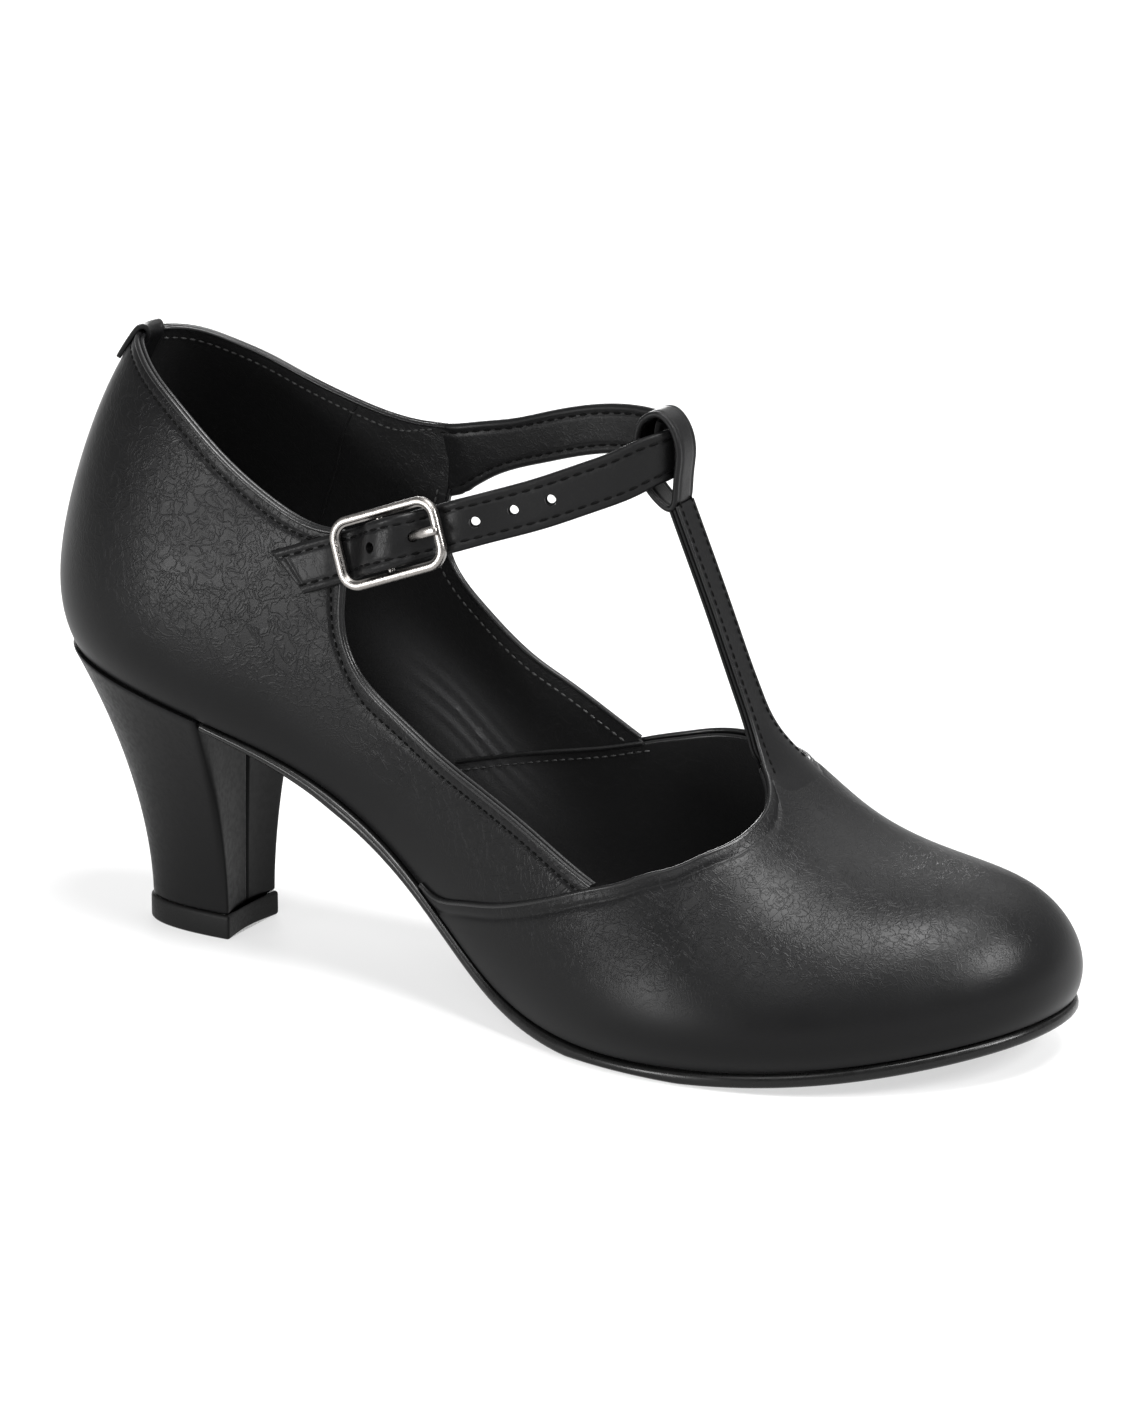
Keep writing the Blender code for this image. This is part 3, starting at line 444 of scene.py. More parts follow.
def raised(tree, shader, height, strength, depth):
    """Let a height bend the light, as if it were a depth in millimetres."""
    bump = add(tree, "ShaderNodeBump", {"Height": height, "Strength": strength, "Distance": depth * MM})
    tree.links.new(bump.outputs["Normal"], shader.inputs["Normal"])


def uneven(tree, shader, noise, roughness, spread):
    """Let noise spread the gloss about its middle value."""
    gloss = ramp(tree, noise, 0.3, 0.7, roughness - spread, roughness + spread)
    tree.links.new(gloss, shader.inputs["Roughness"])


def bent(tree, spot, scale, reach):
    """Coordinates pushed about by noise of a scale, as far as reach."""
    noise = add(tree, "ShaderNodeTexNoise", {"Vector": spot, "Scale": scale, "Detail": 1.0})
    shift = add(tree, "ShaderNodeVectorMath", {0: noise.outputs["Color"], 1: (0.5, 0.5, 0.5)},
                operation='SUBTRACT')
    shift = add(tree, "ShaderNodeVectorMath", {0: shift.outputs[0], "Scale": reach}, operation='SCALE')
    return add(tree, "ShaderNodeVectorMath", {0: spot, 1: shift.outputs[0]}, operation='ADD').outputs[0]


# scale of the noise that bends the cells and how far it reaches, then both for a second, finer bend
BEND_SCALE, BEND_REACH, CURL_SCALE, CURL_REACH = 0.7, 2.6, 2.0, 0.75
# distance of the raised lines from the cell borders and their width, as shares of a cell
DOUBLE_LINES, SINGLE_LINE, SINGLE_FINER = (0.1, 0.075), (0.0, 0.12), 1.6
PATCH_SCALE, DOUBLE_IN_PATCH, SINGLE_IN_PATCH = 0.3, (0.36, 0.54), (0.6, 0.44)
PORE_SCALE, PORE_SHARE, CLOUD_SCALE, GLOSS_SPREAD = 2600.0, 0.35, 45.0, 0.05


def wrinkles(tree, spot, scale, away, width):
    """Thin raised lines at a distance from the borders of bent Voronoi cells."""
    moved = bent(tree, spot, scale * BEND_SCALE, BEND_REACH / scale)
    moved = bent(tree, moved, scale * CURL_SCALE, CURL_REACH / scale)
    cells = add(tree, "ShaderNodeTexVoronoi", {"Vector": moved, "Scale": scale}, feature='DISTANCE_TO_EDGE')
    off = math_node(tree, 'SUBTRACT', cells.outputs["Distance"], away)
    return ramp(tree, math_node(tree, 'ABSOLUTE', off, 0.0), 0.0, width, 1.0, 0.0)


def leather(name, colour, roughness, specular, cell, depth, faded, painted_light=None):
    """Leather with wrinkles of a cell size in millimetres and a depth in millimetres."""
    material, tree, shader = new_material(name, colour, roughness, specular)
    spot = add(tree, "ShaderNodeTexCoord").outputs["Object"]
    scale = 1000.0 / cell
    double = wrinkles(tree, spot, scale, *DOUBLE_LINES)
    single = wrinkles(tree, spot, scale * SINGLE_FINER, *SINGLE_LINE)
    mask = noise_of(tree, spot, scale * PATCH_SCALE, 1.0)
    lines = math_node(tree, 'ADD', math_node(tree, 'MULTIPLY', double, ramp(tree, mask, *DOUBLE_IN_PATCH)),
                      math_node(tree, 'MULTIPLY', single, ramp(tree, mask, *SINGLE_IN_PATCH)))
    pores = noise_of(tree, spot, PORE_SCALE, 3.0)
    if faded:
        amount = add(tree, "ShaderNodeAttribute", attribute_name="grain").outputs["Fac"]
        lines = math_node(tree, 'MULTIPLY', lines, amount)
    height = math_node(tree, 'ADD', lines, math_node(tree, 'MULTIPLY', pores, PORE_SHARE))
    raised(tree, shader, height, 0.8, depth)
    uneven(tree, shader, noise_of(tree, spot, CLOUD_SCALE, 3.0), roughness, GLOSS_SPREAD)
    # painted light: the lining is mixed towards a paler colour where light falls in over the arch
    if painted_light:
        amount = add(tree, "ShaderNodeAttribute", attribute_name="painted_light").outputs["Fac"]
        painted_light_mix = add(tree, "ShaderNodeMix", {0: amount, 6: (*colour, 1.0), 7: (*painted_light, 1.0)}, data_type='RGBA')
        tree.links.new(painted_light_mix.outputs[2], shader.inputs["Base Color"])
    return material


GRAIN_LEATHER = leather("grain_leather", (0.004, 0.004, 0.0042), 0.36, 0.12, 4.0, 0.036, True)
VAMP_LEATHER = leather("vamp_leather", (0.004, 0.004, 0.0042), 0.36, 0.12, 2.7, 0.028, True)
STRAP_LEATHER = leather("strap_leather", (0.0045, 0.0045, 0.0047), 0.38, 0.15, 2.6, 0.016, False)
BINDING = leather("binding", (0.0045, 0.0045, 0.0047), 0.3, 0.28, 2.0, 0.008, False)
# the lining's second colour is painted light, paler where light falls in over the arch
LINING = leather("lining", (0.006, 0.006, 0.0062), 0.44, 0.26, 3.4, 0.03, False, painted_light=(0.085, 0.085, 0.087))
FOOT_BED = leather("foot_bed", (0.08, 0.08, 0.081), 0.55, 0.2, 2.4, 0.012, False)
print("leathers:", GRAIN_LEATHER.name, VAMP_LEATHER.name, STRAP_LEATHER.name, BINDING.name, LINING.name,
      FOOT_BED.name)

# %% [markdown]
# ## Thread, sole, heel and nickel
#
# The other finishes are simpler: noise in the height and the gloss is enough at this size. Thread is matt
# black with a fine twist. The thread on the lining is glossier and painted dark grey, a painted sheen that
# shows it inside the dark shoe. The sole is inked and glossy. The heel is covered and satin, the top lift is
# matt rubber, and the buckle is nickel that has been brushed along its length, so its noise is stretched
# along x.

# %% Other materials
SCRATCH_SCALE, SCRATCH_DEPTH = (150.0, 3000.0, 3000.0), 0.02


def textured(name, colour, roughness, specular, scale, depth, spread=0.06):
    """A plain finish with fine noise in its height and gloss."""
    material, tree, shader = new_material(name, colour, roughness, specular)
    spot = add(tree, "ShaderNodeTexCoord").outputs["Object"]
    noise = noise_of(tree, spot, scale, 4.0)
    raised(tree, shader, noise, 0.6, depth)
    uneven(tree, shader, noise, roughness, spread)
    return material


def brushed(name, colour, roughness):
    """Metal with fine scratches along x."""
    material, tree, shader = new_material(name, colour, roughness)
    shader.inputs["Metallic"].default_value = 1.0
    spot = add(tree, "ShaderNodeTexCoord").outputs["Object"]
    drawn = add(tree, "ShaderNodeMapping", {"Vector": spot, "Scale": SCRATCH_SCALE})
    noise = noise_of(tree, drawn.outputs[0], 1.0, 3.0)
    raised(tree, shader, noise, 0.25, SCRATCH_DEPTH)
    uneven(tree, shader, noise, roughness, 0.07)
    return material


THREAD = textured("thread", (0.002, 0.002, 0.002), 0.7, 0.05, 6000.0, 0.03)
# painted sheen: the lining's thread is painted dark grey to stand in for the highlights on its gloss
PAINTED_SHEEN_THREAD = textured("painted_sheen_thread", (0.03, 0.03, 0.03), 0.5, 0.3, 6000.0, 0.03)
SOLE_EDGE = textured("sole_edge", (0.004, 0.004, 0.004), 0.28, 0.22, 300.0, 0.03)
HEEL_BLACK = textured("heel_black", (0.0048, 0.0048, 0.005), 0.4, 0.085, 900.0, 0.03)
LIFT_RUBBER = textured("lift_rubber", (0.005, 0.005, 0.005), 0.5, 0.13, 1800.0, 0.05)
NICKEL = brushed("nickel", (0.235, 0.223, 0.212), 0.31)
print("other finishes:", THREAD.name, SOLE_EDGE.name, HEEL_BLACK.name, LIFT_RUBBER.name, NICKEL.name)

# %% [markdown]
# ## The cut edges
#
# The pattern of the upper is a set of edges on the last: the topline round the ankle, the front edge of each
# quarter, the throat of the vamp and the seam where the vamp laps over the quarters. Each is a short table of
# points, dropped onto the last. A sheet of leather is then a row of columns, each from a place on the feather
# edge up to a place on a cut edge. Near a cut edge the rows follow it at set distances, so a stitch line can
# run 2.4 mm inside the edge all the way round.

# %% Edge tables
OUTER_TOPLINE = [
    (22, -8.5, 129), (29, -14.5, 124.5), (36.5, -17.5, 119.5), (46, -19.5, 112.5),
    (54.5, -20.5, 106.5), (63, -21, 101.5), (70, -21, 98.3), (76, -20.7, 97), (80, -20.5, 97),
]
OUTER_FRONT = [
    (80, -20.5, 97), (80.8, -22, 86), (80.9, -22.7, 79.5), (82.4, -23.5, 73.5), (86, -24, 67.5),
    (95, -25, 60.5), (106.5, -27, 54), (121.5, -31, 48), (136, -35, 42), (150, -38, 36),
]
OUTER_THROAT = [
    (150, -38, 36), (156, -37, 38), (161, -35, 40), (166, -33, 41.7), (170, -30, 43.8),
    (174, -25.4, 45.7), (176.3, -18.6, 48.1), (176.3, -13.4, 50), (175, -9.4, 52.2),
    (173, -6.4, 54.5), (171, -4.4, 56.8),
]
OUTER_SEAM = [
    (103, -27, 26), (106, -27.7, 24.6), (115, -31, 25.2), (124.5, -34, 27.1),
    (134.5, -36.8, 30.3), (144, -38, 33.8), (150, -38, 36),
]
INNER_TOPLINE = [
    (22, 6.3, 130), (27.5, 9.7, 129), (34, 12, 127), (42, 13.2, 124.3), (51.5, 14, 120.6),
    (61.5, 13.7, 117.4), (72, 13, 115), (82.5, 12, 114.2), (89, 11.2, 114.6),
]
INNER_ROOT = [(89, 11.2, 114.6), (88.4, 12.5, 107), (87.5, 13.5, 100.5)]
INNER_FRONT = [
    (87.5, 13.5, 100.5), (86.2, 14.3, 96.5), (85.4, 15.2, 91), (86.2, 15.8, 84.5), (94.5, 16, 74.2),
    (107, 17, 64), (113, 17.8, 60.4), (129.5, 22.2, 48.6),
]
INNER_THROAT = [
    (129.5, 22.2, 48.6), (139, 23.8, 51), (153, 23, 53.5), (163, 20.5, 53.5), (170, 16.5, 53),
    (173.5, 12, 53.2), (173.5, 8.5, 54.3), (172, 6.4, 55.8), (171, 5.8, 56.6),
]
INNER_SEAM = [
    (87, 17.5, 38.5), (93, 17.8, 40.3), (111, 18.8, 44.7), (122, 20.6, 46.8), (129.5, 22.2, 48.6),
]
PEAK_X = 171
COLUMN_BEND, RIDGE_BEND = 3.0, 1.3
BACK_TOP_Z = 130.0
VAMP_LIP = 0.7
OUTER_FEET = {"topline": 66, "front": 146, "throat": 203, "peak": 209}
INNER_FEET = {"topline": 52, "root": 62, "front": 128, "throat": 201, "peak": 207}
OUTER_SEAM_FOOT_X, INNER_SEAM_FOOT_X = 104, 88
STITCH_INSET = 2.4
EDGE_ROWS = [0, 0.35, 0.8, 1.25, 1.7, 2.1, STITCH_INSET, 2.7, 3.1, 3.7, 4.6, 6.0]
STITCH_ROW = EDGE_ROWS.index(STITCH_INSET)
NO_EDGE, TOPLINE, FRONT, THROAT, PEAK, SEAM, ROOT = range(7)
print("rows beside each cut edge, in mm:", EDGE_ROWS)

# %% Columns of the pattern


def traced(rows, outer, count, start=None):
    """A smooth cut edge on the last as pairs of u and theta."""
    pairs = dropped(rows, outer)
    if start is not None:
        pairs = np.concatenate([[start], pairs])
    run = chords(last(pairs[:, 0], pairs[:, 1]))
    return spline(run, pairs, np.linspace(0, run[-1], count))


def ridge_start(outer, x):
    """u of the section that meets the ridge at x."""
    sections = np.linspace(TOE_EASE_FROM - 20, TIP_X, 800)
    return float(u_at(np.interp(x, ridge_x(sections), sections), outer))


def side_columns(outer, spans, peak_x):
    """Columns of one side: u of the foot, u and theta of the head, and the kind of edge there."""
    rows = []
    for foot_from, foot_to, edge, kind in spans:
        feet = np.linspace(foot_from, foot_to, len(edge))
        rows += [(foot, head[0], head[1], kind) for foot, head in zip(feet[:-1], edge[:-1])]
    first = plan(ridge_start(outer, peak_x))[0]
    stations = TIP_X - (TIP_X - first) * np.linspace(1, 0, 36) ** 2
    feet = np.linspace(spans[-1][1], TIP_U, len(stations))
    rows += [(foot, head, math.pi / 2, NO_EDGE) for foot, head in zip(feet, u_at(stations, outer))]
    return rows


def edge_spans(outer, peak_x):
    """Throat and peak of one side, from the vamp junction to the ridge."""
    feet = OUTER_FEET if outer else INNER_FEET
    foot = {name: float(u_at(x, outer)) for name, x in feet.items()}
    throat = traced(OUTER_THROAT if outer else INNER_THROAT, outer, 56)
    ridge = np.array([ridge_start(outer, peak_x), math.pi / 2])
    peak = throat[-1] + (ridge - throat[-1]) * np.linspace(0, 1, 10)[:, None]
    return foot, [(foot["front"], foot["throat"], throat, THROAT), (foot["throat"], foot["peak"], peak, PEAK)]


def quarter_columns():
    """Columns of the inner layer, from the heel back round the toe to the heel back."""
    back_theta = theta_at(0.0, BACK_TOP_Z)
    foot, spans = edge_spans(True, PEAK_X + VAMP_LIP)
    topline = traced(OUTER_TOPLINE, True, 70, (0.0, back_theta))
    front = traced(OUTER_FRONT, True, 80)
    outer = [(0.0, foot["topline"], topline, TOPLINE), (foot["topline"], foot["front"], front, FRONT)] + spans
    foot, spans = edge_spans(False, PEAK_X + VAMP_LIP)
    topline = traced(INNER_TOPLINE, False, 70, (1.0, back_theta))
    inner = [(1.0, foot["topline"], topline, TOPLINE),
             (foot["topline"], foot["root"], traced(INNER_ROOT, False, 12), ROOT),
             (foot["root"], foot["front"], traced(INNER_FRONT, False, 70), FRONT)] + spans
    sides = side_columns(True, outer, PEAK_X + VAMP_LIP), side_columns(False, inner, PEAK_X + VAMP_LIP)
    return sides[0] + sides[1][-2::-1]


def vamp_columns():
    """Columns of the vamp, from the outer seam round the toe to the inner seam."""
    sides = []
    for outer in (True, False):
        seam = traced(OUTER_SEAM if outer else INNER_SEAM, outer, 46)
        seam_foot = float(u_at(OUTER_SEAM_FOOT_X if outer else INNER_SEAM_FOOT_X, outer))
        foot, spans = edge_spans(outer, PEAK_X)
        sides.append(side_columns(outer, [(seam_foot, foot["front"], seam, SEAM)] + spans, PEAK_X))
    return sides[0] + sides[1][-2::-1]


QUARTER = np.asarray(quarter_columns(), float)
VAMP = np.asarray(vamp_columns(), float)
print("columns: quarters", len(QUARTER), "and vamp", len(VAMP))

# %% [markdown]
# ## Laying leather on the last
#
# The helper below fills in the rows of each column. A column can meet its edge at a slant, so the distances
# from the edge are stretched by the slant. Where stitches pull the leather down, the surface sinks into a
# shallow trough along the stitch line. The same grid, with other lifts, gives the leather, its lining, the
# rolled edge and the line for the needle.

# %% Sheets
# lift of each layer's outer face off the last and its thickness, and the thickness of the whole wall
QUARTER_FACE, QUARTER_THICK = -0.4, 0.9
LINING_BACK, LINING_THICK = -1.32, 0.68
VAMP_FACE, VAMP_THICK = 0.4, 0.85
WALL = 1.6
BODY_ROWS, TRACK_POINTS = 34, 90
TROUGH_DEPTH, TROUGH_HALF = 0.3, 0.55
# where the grain starts and how far it takes to grow, upwards and from the heel back, and its share there
GRAIN_RISE, GRAIN_FORWARD, HEEL_GRAIN = (7, 18), (8, 22), 0.25
# place along the shoe and height over the feather edge, and the reach along both, for the lining's patch of
# painted light and for its folds
PAINTED_LIGHT_SPOT, PAINTED_LIGHT_REACH = (84, 14), (17, 9)
FOLD_SPOT, FOLD_REACH, FOLD_DEPTH = (89, 13), (11, 6.5), 0.4


def blurred(values, reach):
    """A running mean along the columns."""
    padded = np.concatenate([np.repeat(values[:1], reach), values, np.repeat(values[-1:], reach)])
    return np.convolve(padded, np.ones(2 * reach + 1) / (2 * reach + 1), mode="valid")


def sheet_grid(columns, foot_rise=0.0, lip=0.0):
    """u, theta and distance from the edge for every point of a sheet."""
    foot, head_u, head_theta, kind = columns.T
    low = np.array([theta_at(u, feather_z(plan(u)[0]) + foot_rise) if foot_rise else 0.0 for u in foot])
    bend = blurred(np.where(kind == NO_EDGE, RIDGE_BEND, COLUMN_BEND), 8)[:, None]
    share = np.linspace(0, 1, TRACK_POINTS)[None, :]
    u = foot[:, None] + (head_u - foot)[:, None] * share ** bend
    theta = low[:, None] + (head_theta - low)[:, None] * share
    track = last(u, theta)
    climb = np.linalg.norm(np.diff(track, axis=1), axis=2)
    left = np.concatenate([np.cumsum(climb[:, ::-1], 1)[:, ::-1], np.zeros((len(foot), 1))], 1)
    way = unit(track[:, -1] - track[:, -4])
    edge = unit(np.gradient(track[:, -1], axis=0))
    slant = blurred(np.clip(np.linalg.norm(np.cross(way, edge), axis=1), 0.4, 1), 3)
    start = np.where((kind == THROAT) | (kind == PEAK), lip, 0.0)
    near = start[:, None] + np.asarray(EDGE_ROWS)[None, :] / slant[:, None]
    rest = np.linspace(0, 1, BODY_ROWS + 1)[1:]
    far = near[:, -1:] + (left[:, :1] - near[:, -1:]) * rest[None, :]
    depth = np.concatenate([near, far], 1)
    shares = np.stack([np.interp(-d, -l, share[0]) for d, l in zip(depth, left)])
    full_u = foot[:, None] + (head_u - foot)[:, None] * shares ** bend
    full_theta = low[:, None] + (head_theta - low)[:, None] * shares
    return full_u, full_theta, (depth - start[:, None]) * slant[:, None], kind


def trough(distance, kind):
    """How far the leather sinks along its stitch line."""
    sewn = blurred(np.isin(kind, (TOPLINE, FRONT, THROAT, SEAM)).astype(float), 2)
    return -TROUGH_DEPTH * np.exp(-((distance - STITCH_INSET) / TROUGH_HALF) ** 2) * sewn[:, None]


def grain_amount(points):
    """Wrinkles fade towards the sole and the heel back."""
    above = points[..., 2] - feather_z(points[..., 0])
    rise = np.clip((above - GRAIN_RISE[0]) / GRAIN_RISE[1], 0, 1)
    forward = np.clip((points[..., 0] - GRAIN_FORWARD[0]) / GRAIN_FORWARD[1], 0, 1)
    return rise * rise * (3 - 2 * rise) * (HEEL_GRAIN + (1 - HEEL_GRAIN) * forward)


def arch_patch(points, spot, reach):
    """A soft patch of the inner side, over the arch."""
    x, y, z = np.moveaxis(points, -1, 0)
    above = z - feather_z(x)
    return np.exp(-((x - spot[0]) / reach[0]) ** 2 - ((above - spot[1]) / reach[1]) ** 2) * (y > 0)


def slab(name, outer, inner, material, ends=True, turned=False, grain=1.0, joined=None):
    """A closed sheet between two grids of points, with rims all round but where its heads are joined."""
    lines, rows = outer.shape[:2]
    under, end = lines * rows, (lines - 1) * rows
    skin = grid_faces(lines, rows)
    faces = [f[::-1] for f in skin] + [tuple(v + under for v in f) for f in skin]
    for i in range(lines - 1):
        a, b = i * rows, (i + 1) * rows
        if joined is None or not (joined[i] and joined[i + 1]):
            faces.append((a, b, b + under, a + under))
        faces.append((b + rows - 1, a + rows - 1, a + rows - 1 + under, b + rows - 1 + under))
    if ends:
        faces += [(j + 1, j, j + under, j + 1 + under) for j in range(rows - 1)]
        faces += [(end + j, end + j + 1, end + j + 1 + under, end + j + under) for j in range(rows - 1)]
    if turned:
        faces = [f[::-1] for f in faces]
    points = np.concatenate([outer.reshape(-1, 3), inner.reshape(-1, 3)])
    # the second number is painted light on the lining over the arch
    finish = {"grain": grain * grain_amount(points), "painted_light": arch_patch(points, PAINTED_LIGHT_SPOT, PAINTED_LIGHT_REACH)}
    return piece(name, points, faces, material, finish, weld=0.02, outward=False)


def soft_folds(points):
    """Soft folds low on the inner side of the lining, where it bunches over the arch."""
    x = points[..., 0]
    above = points[..., 2] - feather_z(x)
    place = arch_patch(points, FOLD_SPOT, FOLD_REACH)
    return FOLD_DEPTH * place * np.sin(1.5 * above + 0.12 * x + 1.3 * np.sin(0.2 * x))


def sheet(name, grid, face, thickness, material, sunk=True):
    """A sheet of leather on the last, its outer face at a lift and its inner face below."""
    u, theta, distance, kind = grid
    lift = face + (trough(distance, kind) if sunk else np.zeros(u.shape))
    folds = 0.0 if sunk else soft_folds(last(u, theta))
    inner = last(u, theta, np.full(u.shape, face - thickness) + folds)
    return slab(name, last(u, theta, lift), inner, material, ends=kind[0] == SEAM, joined=kind == NO_EDGE)


quarter_grid = sheet_grid(QUARTER, lip=VAMP_LIP)
vamp_grid = sheet_grid(VAMP, foot_rise=0.5)
print("points of the quarters:", quarter_grid[0].size, "and of the vamp:", vamp_grid[0].size)

# %% [markdown]
# ## Quarters, lining and vamp
#
# The shoe's wall has three layers. The quarters cover the heel and sides, a thinner lining sits inside them,
# and the vamp laps over both at the front. One thick wall would be simpler, but the two edges at the topline,
# with a groove between them, are what makes a real shoe look sewn. The lining has a few soft folds over the
# arch, where it is loose. They are in its shape, because a bump alone would not catch the light so low.

# %% The upper's layers
quarters = sheet("quarters", quarter_grid, QUARTER_FACE, QUARTER_THICK, GRAIN_LEATHER)
settle(quarters, "grain_leather", "upper")
lining = sheet("lining", quarter_grid, LINING_BACK, LINING_THICK, LINING, sunk=False)
settle(lining, "lining")
vamp = sheet("vamp", vamp_grid, VAMP_FACE, VAMP_THICK, VAMP_LEATHER)
settle(vamp, "grain_leather")

# %% [markdown]
# ## Rolled edges with Geometry Nodes
#
# A shoemaker folds each cut edge over a cord, so it ends in a round bead. A bead is a circle carried along a
# path, and that is a short tree: the path becomes a curve, the circle is swept along it, and the result gets
# its material. The radius and the material are inputs, so one tree serves every edge.

# %% Bead tree


def new_tree(name, inputs):
    tree = bpy.data.node_groups.new(name, 'GeometryNodeTree')
    tree.interface.new_socket("Geometry", in_out='INPUT', socket_type='NodeSocketGeometry')
    for key, kind in inputs:
        tree.interface.new_socket(key, in_out='INPUT', socket_type=kind)
    tree.interface.new_socket("Geometry", in_out='OUTPUT', socket_type='NodeSocketGeometry')
    return tree, tree.nodes.new("NodeGroupInput"), tree.nodes.new("NodeGroupOutput")


def bead_tree():
    inputs = [("Radius", 'NodeSocketFloat'), ("Leather", 'NodeSocketMaterial')]
    tree, source, result = new_tree("rolled_edge", inputs)
    path = add(tree, "GeometryNodeMeshToCurve", {"Mesh": source.outputs["Geometry"]})
    ring = add(tree, "GeometryNodeCurvePrimitiveCircle", {"Resolution": 12,
                                                          "Radius": source.outputs["Radius"]})
    tube = add(tree, "GeometryNodeCurveToMesh", {"Curve": path.outputs[0], "Profile Curve": ring.outputs[0],
                                                 "Fill Caps": True})
    whole = add(tree, "GeometryNodeRealizeInstances", {"Geometry": tube.outputs[0]})
    dressed = add(tree, "GeometryNodeSetMaterial", {"Geometry": whole.outputs[0],
                                                    "Material": source.outputs["Leather"]})
    tree.links.new(dressed.outputs[0], result.inputs[0])
    return tree


def with_tree(name, points, tree, values, ups=None):
    """A path of points run through a Geometry Nodes tree and made a plain mesh."""
    mesh = bpy.data.meshes.new(name)
    count = len(points)
    mesh.from_pydata(to_frame(points).tolist(), [(i, i + 1) for i in range(count - 1)], [])
    if ups is not None:
        store = mesh.attributes.new("up", 'FLOAT_VECTOR', 'POINT')
        store.data.foreach_set("vector", np.asarray(ups, np.float32).ravel())
    made = bpy.data.objects.new(name, mesh)
    bpy.context.scene.collection.objects.link(made)
    modifier = made.modifiers.new("nodes", 'NODES')
    modifier.node_group = tree
    sockets = {item.name: item.identifier for item in tree.interface.items_tree if item.in_out == 'INPUT'}
    for key, value in values.items():
        modifier[sockets[key]] = value
    plain(made)
    made.data.shade_smooth()
    return made


BEAD_TREE = bead_tree()


def bead(name, points, radius, material, slot):
    made = with_tree(name, points, BEAD_TREE, {"Radius": radius * MM, "Leather": material})
    return settle(made, slot)


print("bead tree has", len(BEAD_TREE.nodes), "nodes")

# %% Beads along the cut edges


def edge_line(grid, kinds, row, lift, over=0.0):
    """Columns, points and normals of one row of a sheet along some of its edges, moved over the edge."""
    u, theta, _, kind = grid
    picked = np.isin(kind, kinds)
    points = last(u[:, row], theta[:, row], lift)
    beyond = unit(points - last(u[:, row + 2], theta[:, row + 2], lift))
    return picked, points + over * beyond, last_normal(u[:, row], theta[:, row])


def runs_of(picked, closed):
    """Stretches of neighbouring columns, joined over the heel back where the sheet is closed."""
    index = np.flatnonzero(picked)
    groups = np.split(index, np.flatnonzero(np.diff(index) > 1) + 1)
    if closed and len(groups) > 1 and groups[0][0] == 0 and groups[-1][-1] == len(picked) - 1:
        groups = [np.concatenate([groups[-1], groups[0][1:]])] + groups[1:-1]
    return groups


QUARTER_EDGES = (TOPLINE, FRONT)
VAMP_EDGES = (THROAT, PEAK, SEAM)
# name, sheet, edges, lift off the last, radius, shift over the edge, slot, and whether it joins at the back
BEADS = [
    ("quarter_bead", quarter_grid, QUARTER_EDGES, -0.8, 0.62, 0.0, "strap_leather", True),
    ("lining_bead", quarter_grid, QUARTER_EDGES, -1.75, 0.5, 0.5, "lining", True),
    ("vamp_bead", vamp_grid, VAMP_EDGES, -0.05, 0.6, 0.0, "strap_leather", False),
    ("throat_lining_bead", quarter_grid, (THROAT, PEAK), -1.3, 0.6, 0.0, "lining", False),
]
for title, grid, kinds, lift, radius, over, slot, closed in BEADS:
    picked, points, _ = edge_line(grid, kinds, 0, lift, over)
    for number, group in enumerate(runs_of(picked, closed)):
        bead(f"{title}_{number}", points[group], radius, BINDING, slot)

# %% [markdown]
# ## Stitches with Geometry Nodes
#
# A seam is one short stitch repeated along a line. Hundreds of hand-placed copies would be slow to change, so
# a tree does it: it steps along the path by the pitch, puts a small long ball at each step, and turns it
# along the path. The surface's own normal travels with the path as an attribute named `up`. The thread on the
# outside is black. The thread on the lining is painted dark grey, a painted sheen that shows inside the dark
# shoe.

# %% Stitch tree


def stitch_tree():
    tree, source, result = new_tree("stitches", [
        ("Pitch", 'NodeSocketFloat'), ("Length", 'NodeSocketFloat'), ("Width", 'NodeSocketFloat'),
        ("Thread", 'NodeSocketMaterial')])
    path = add(tree, "GeometryNodeMeshToCurve", {"Mesh": source.outputs["Geometry"]})
    steps = add(tree, "GeometryNodeResampleCurve", {"Curve": path.outputs[0],
                                                    "Length": source.outputs["Pitch"]}, mode='LENGTH')
    ball = add(tree, "GeometryNodeMeshUVSphere", {"Segments": 8, "Rings": 6, "Radius": 0.5})
    up = add(tree, "GeometryNodeInputNamedAttribute", {"Name": "up"}, data_type='FLOAT_VECTOR')
    along = add(tree, "GeometryNodeInputTangent")
    turn = add(tree, "FunctionNodeAxesToRotation", {"Primary Axis": along.outputs[0],
                                                    "Secondary Axis": up.outputs[0]})
    turn.primary_axis = 'X'
    turn.secondary_axis = 'Z'
    size = add(tree, "ShaderNodeCombineXYZ", {"X": source.outputs["Length"], "Y": source.outputs["Width"],
                                              "Z": source.outputs["Width"]})
    sewn = add(tree, "GeometryNodeInstanceOnPoints", {
        "Points": steps.outputs[0], "Instance": ball.outputs["Mesh"], "Rotation": turn.outputs[0],
        "Scale": size.outputs[0]})
    whole = add(tree, "GeometryNodeRealizeInstances", {"Geometry": sewn.outputs[0]})
    dressed = add(tree, "GeometryNodeSetMaterial", {"Geometry": whole.outputs[0],
                                                    "Material": source.outputs["Thread"]})
    tree.links.new(dressed.outputs[0], result.inputs[0])
    return tree


STITCH_TREE = stitch_tree()
EDGE_STITCH, STRAP_STITCH = (1.9, 1.45, 0.5), (2.8, 2.15, 0.55)


def stitches(name, points, ups, sizes=EDGE_STITCH, slot="strap_leather", thread=None):
    """A row of stitches along points, given their pitch, length and width."""
    values = {key: size * MM for key, size in zip(("Pitch", "Length", "Width"), sizes)}
    return settle(with_tree(name, points, STITCH_TREE, {**values, "Thread": thread or THREAD}, ups), slot)


print("stitch tree has", len(STITCH_TREE.nodes), "nodes")

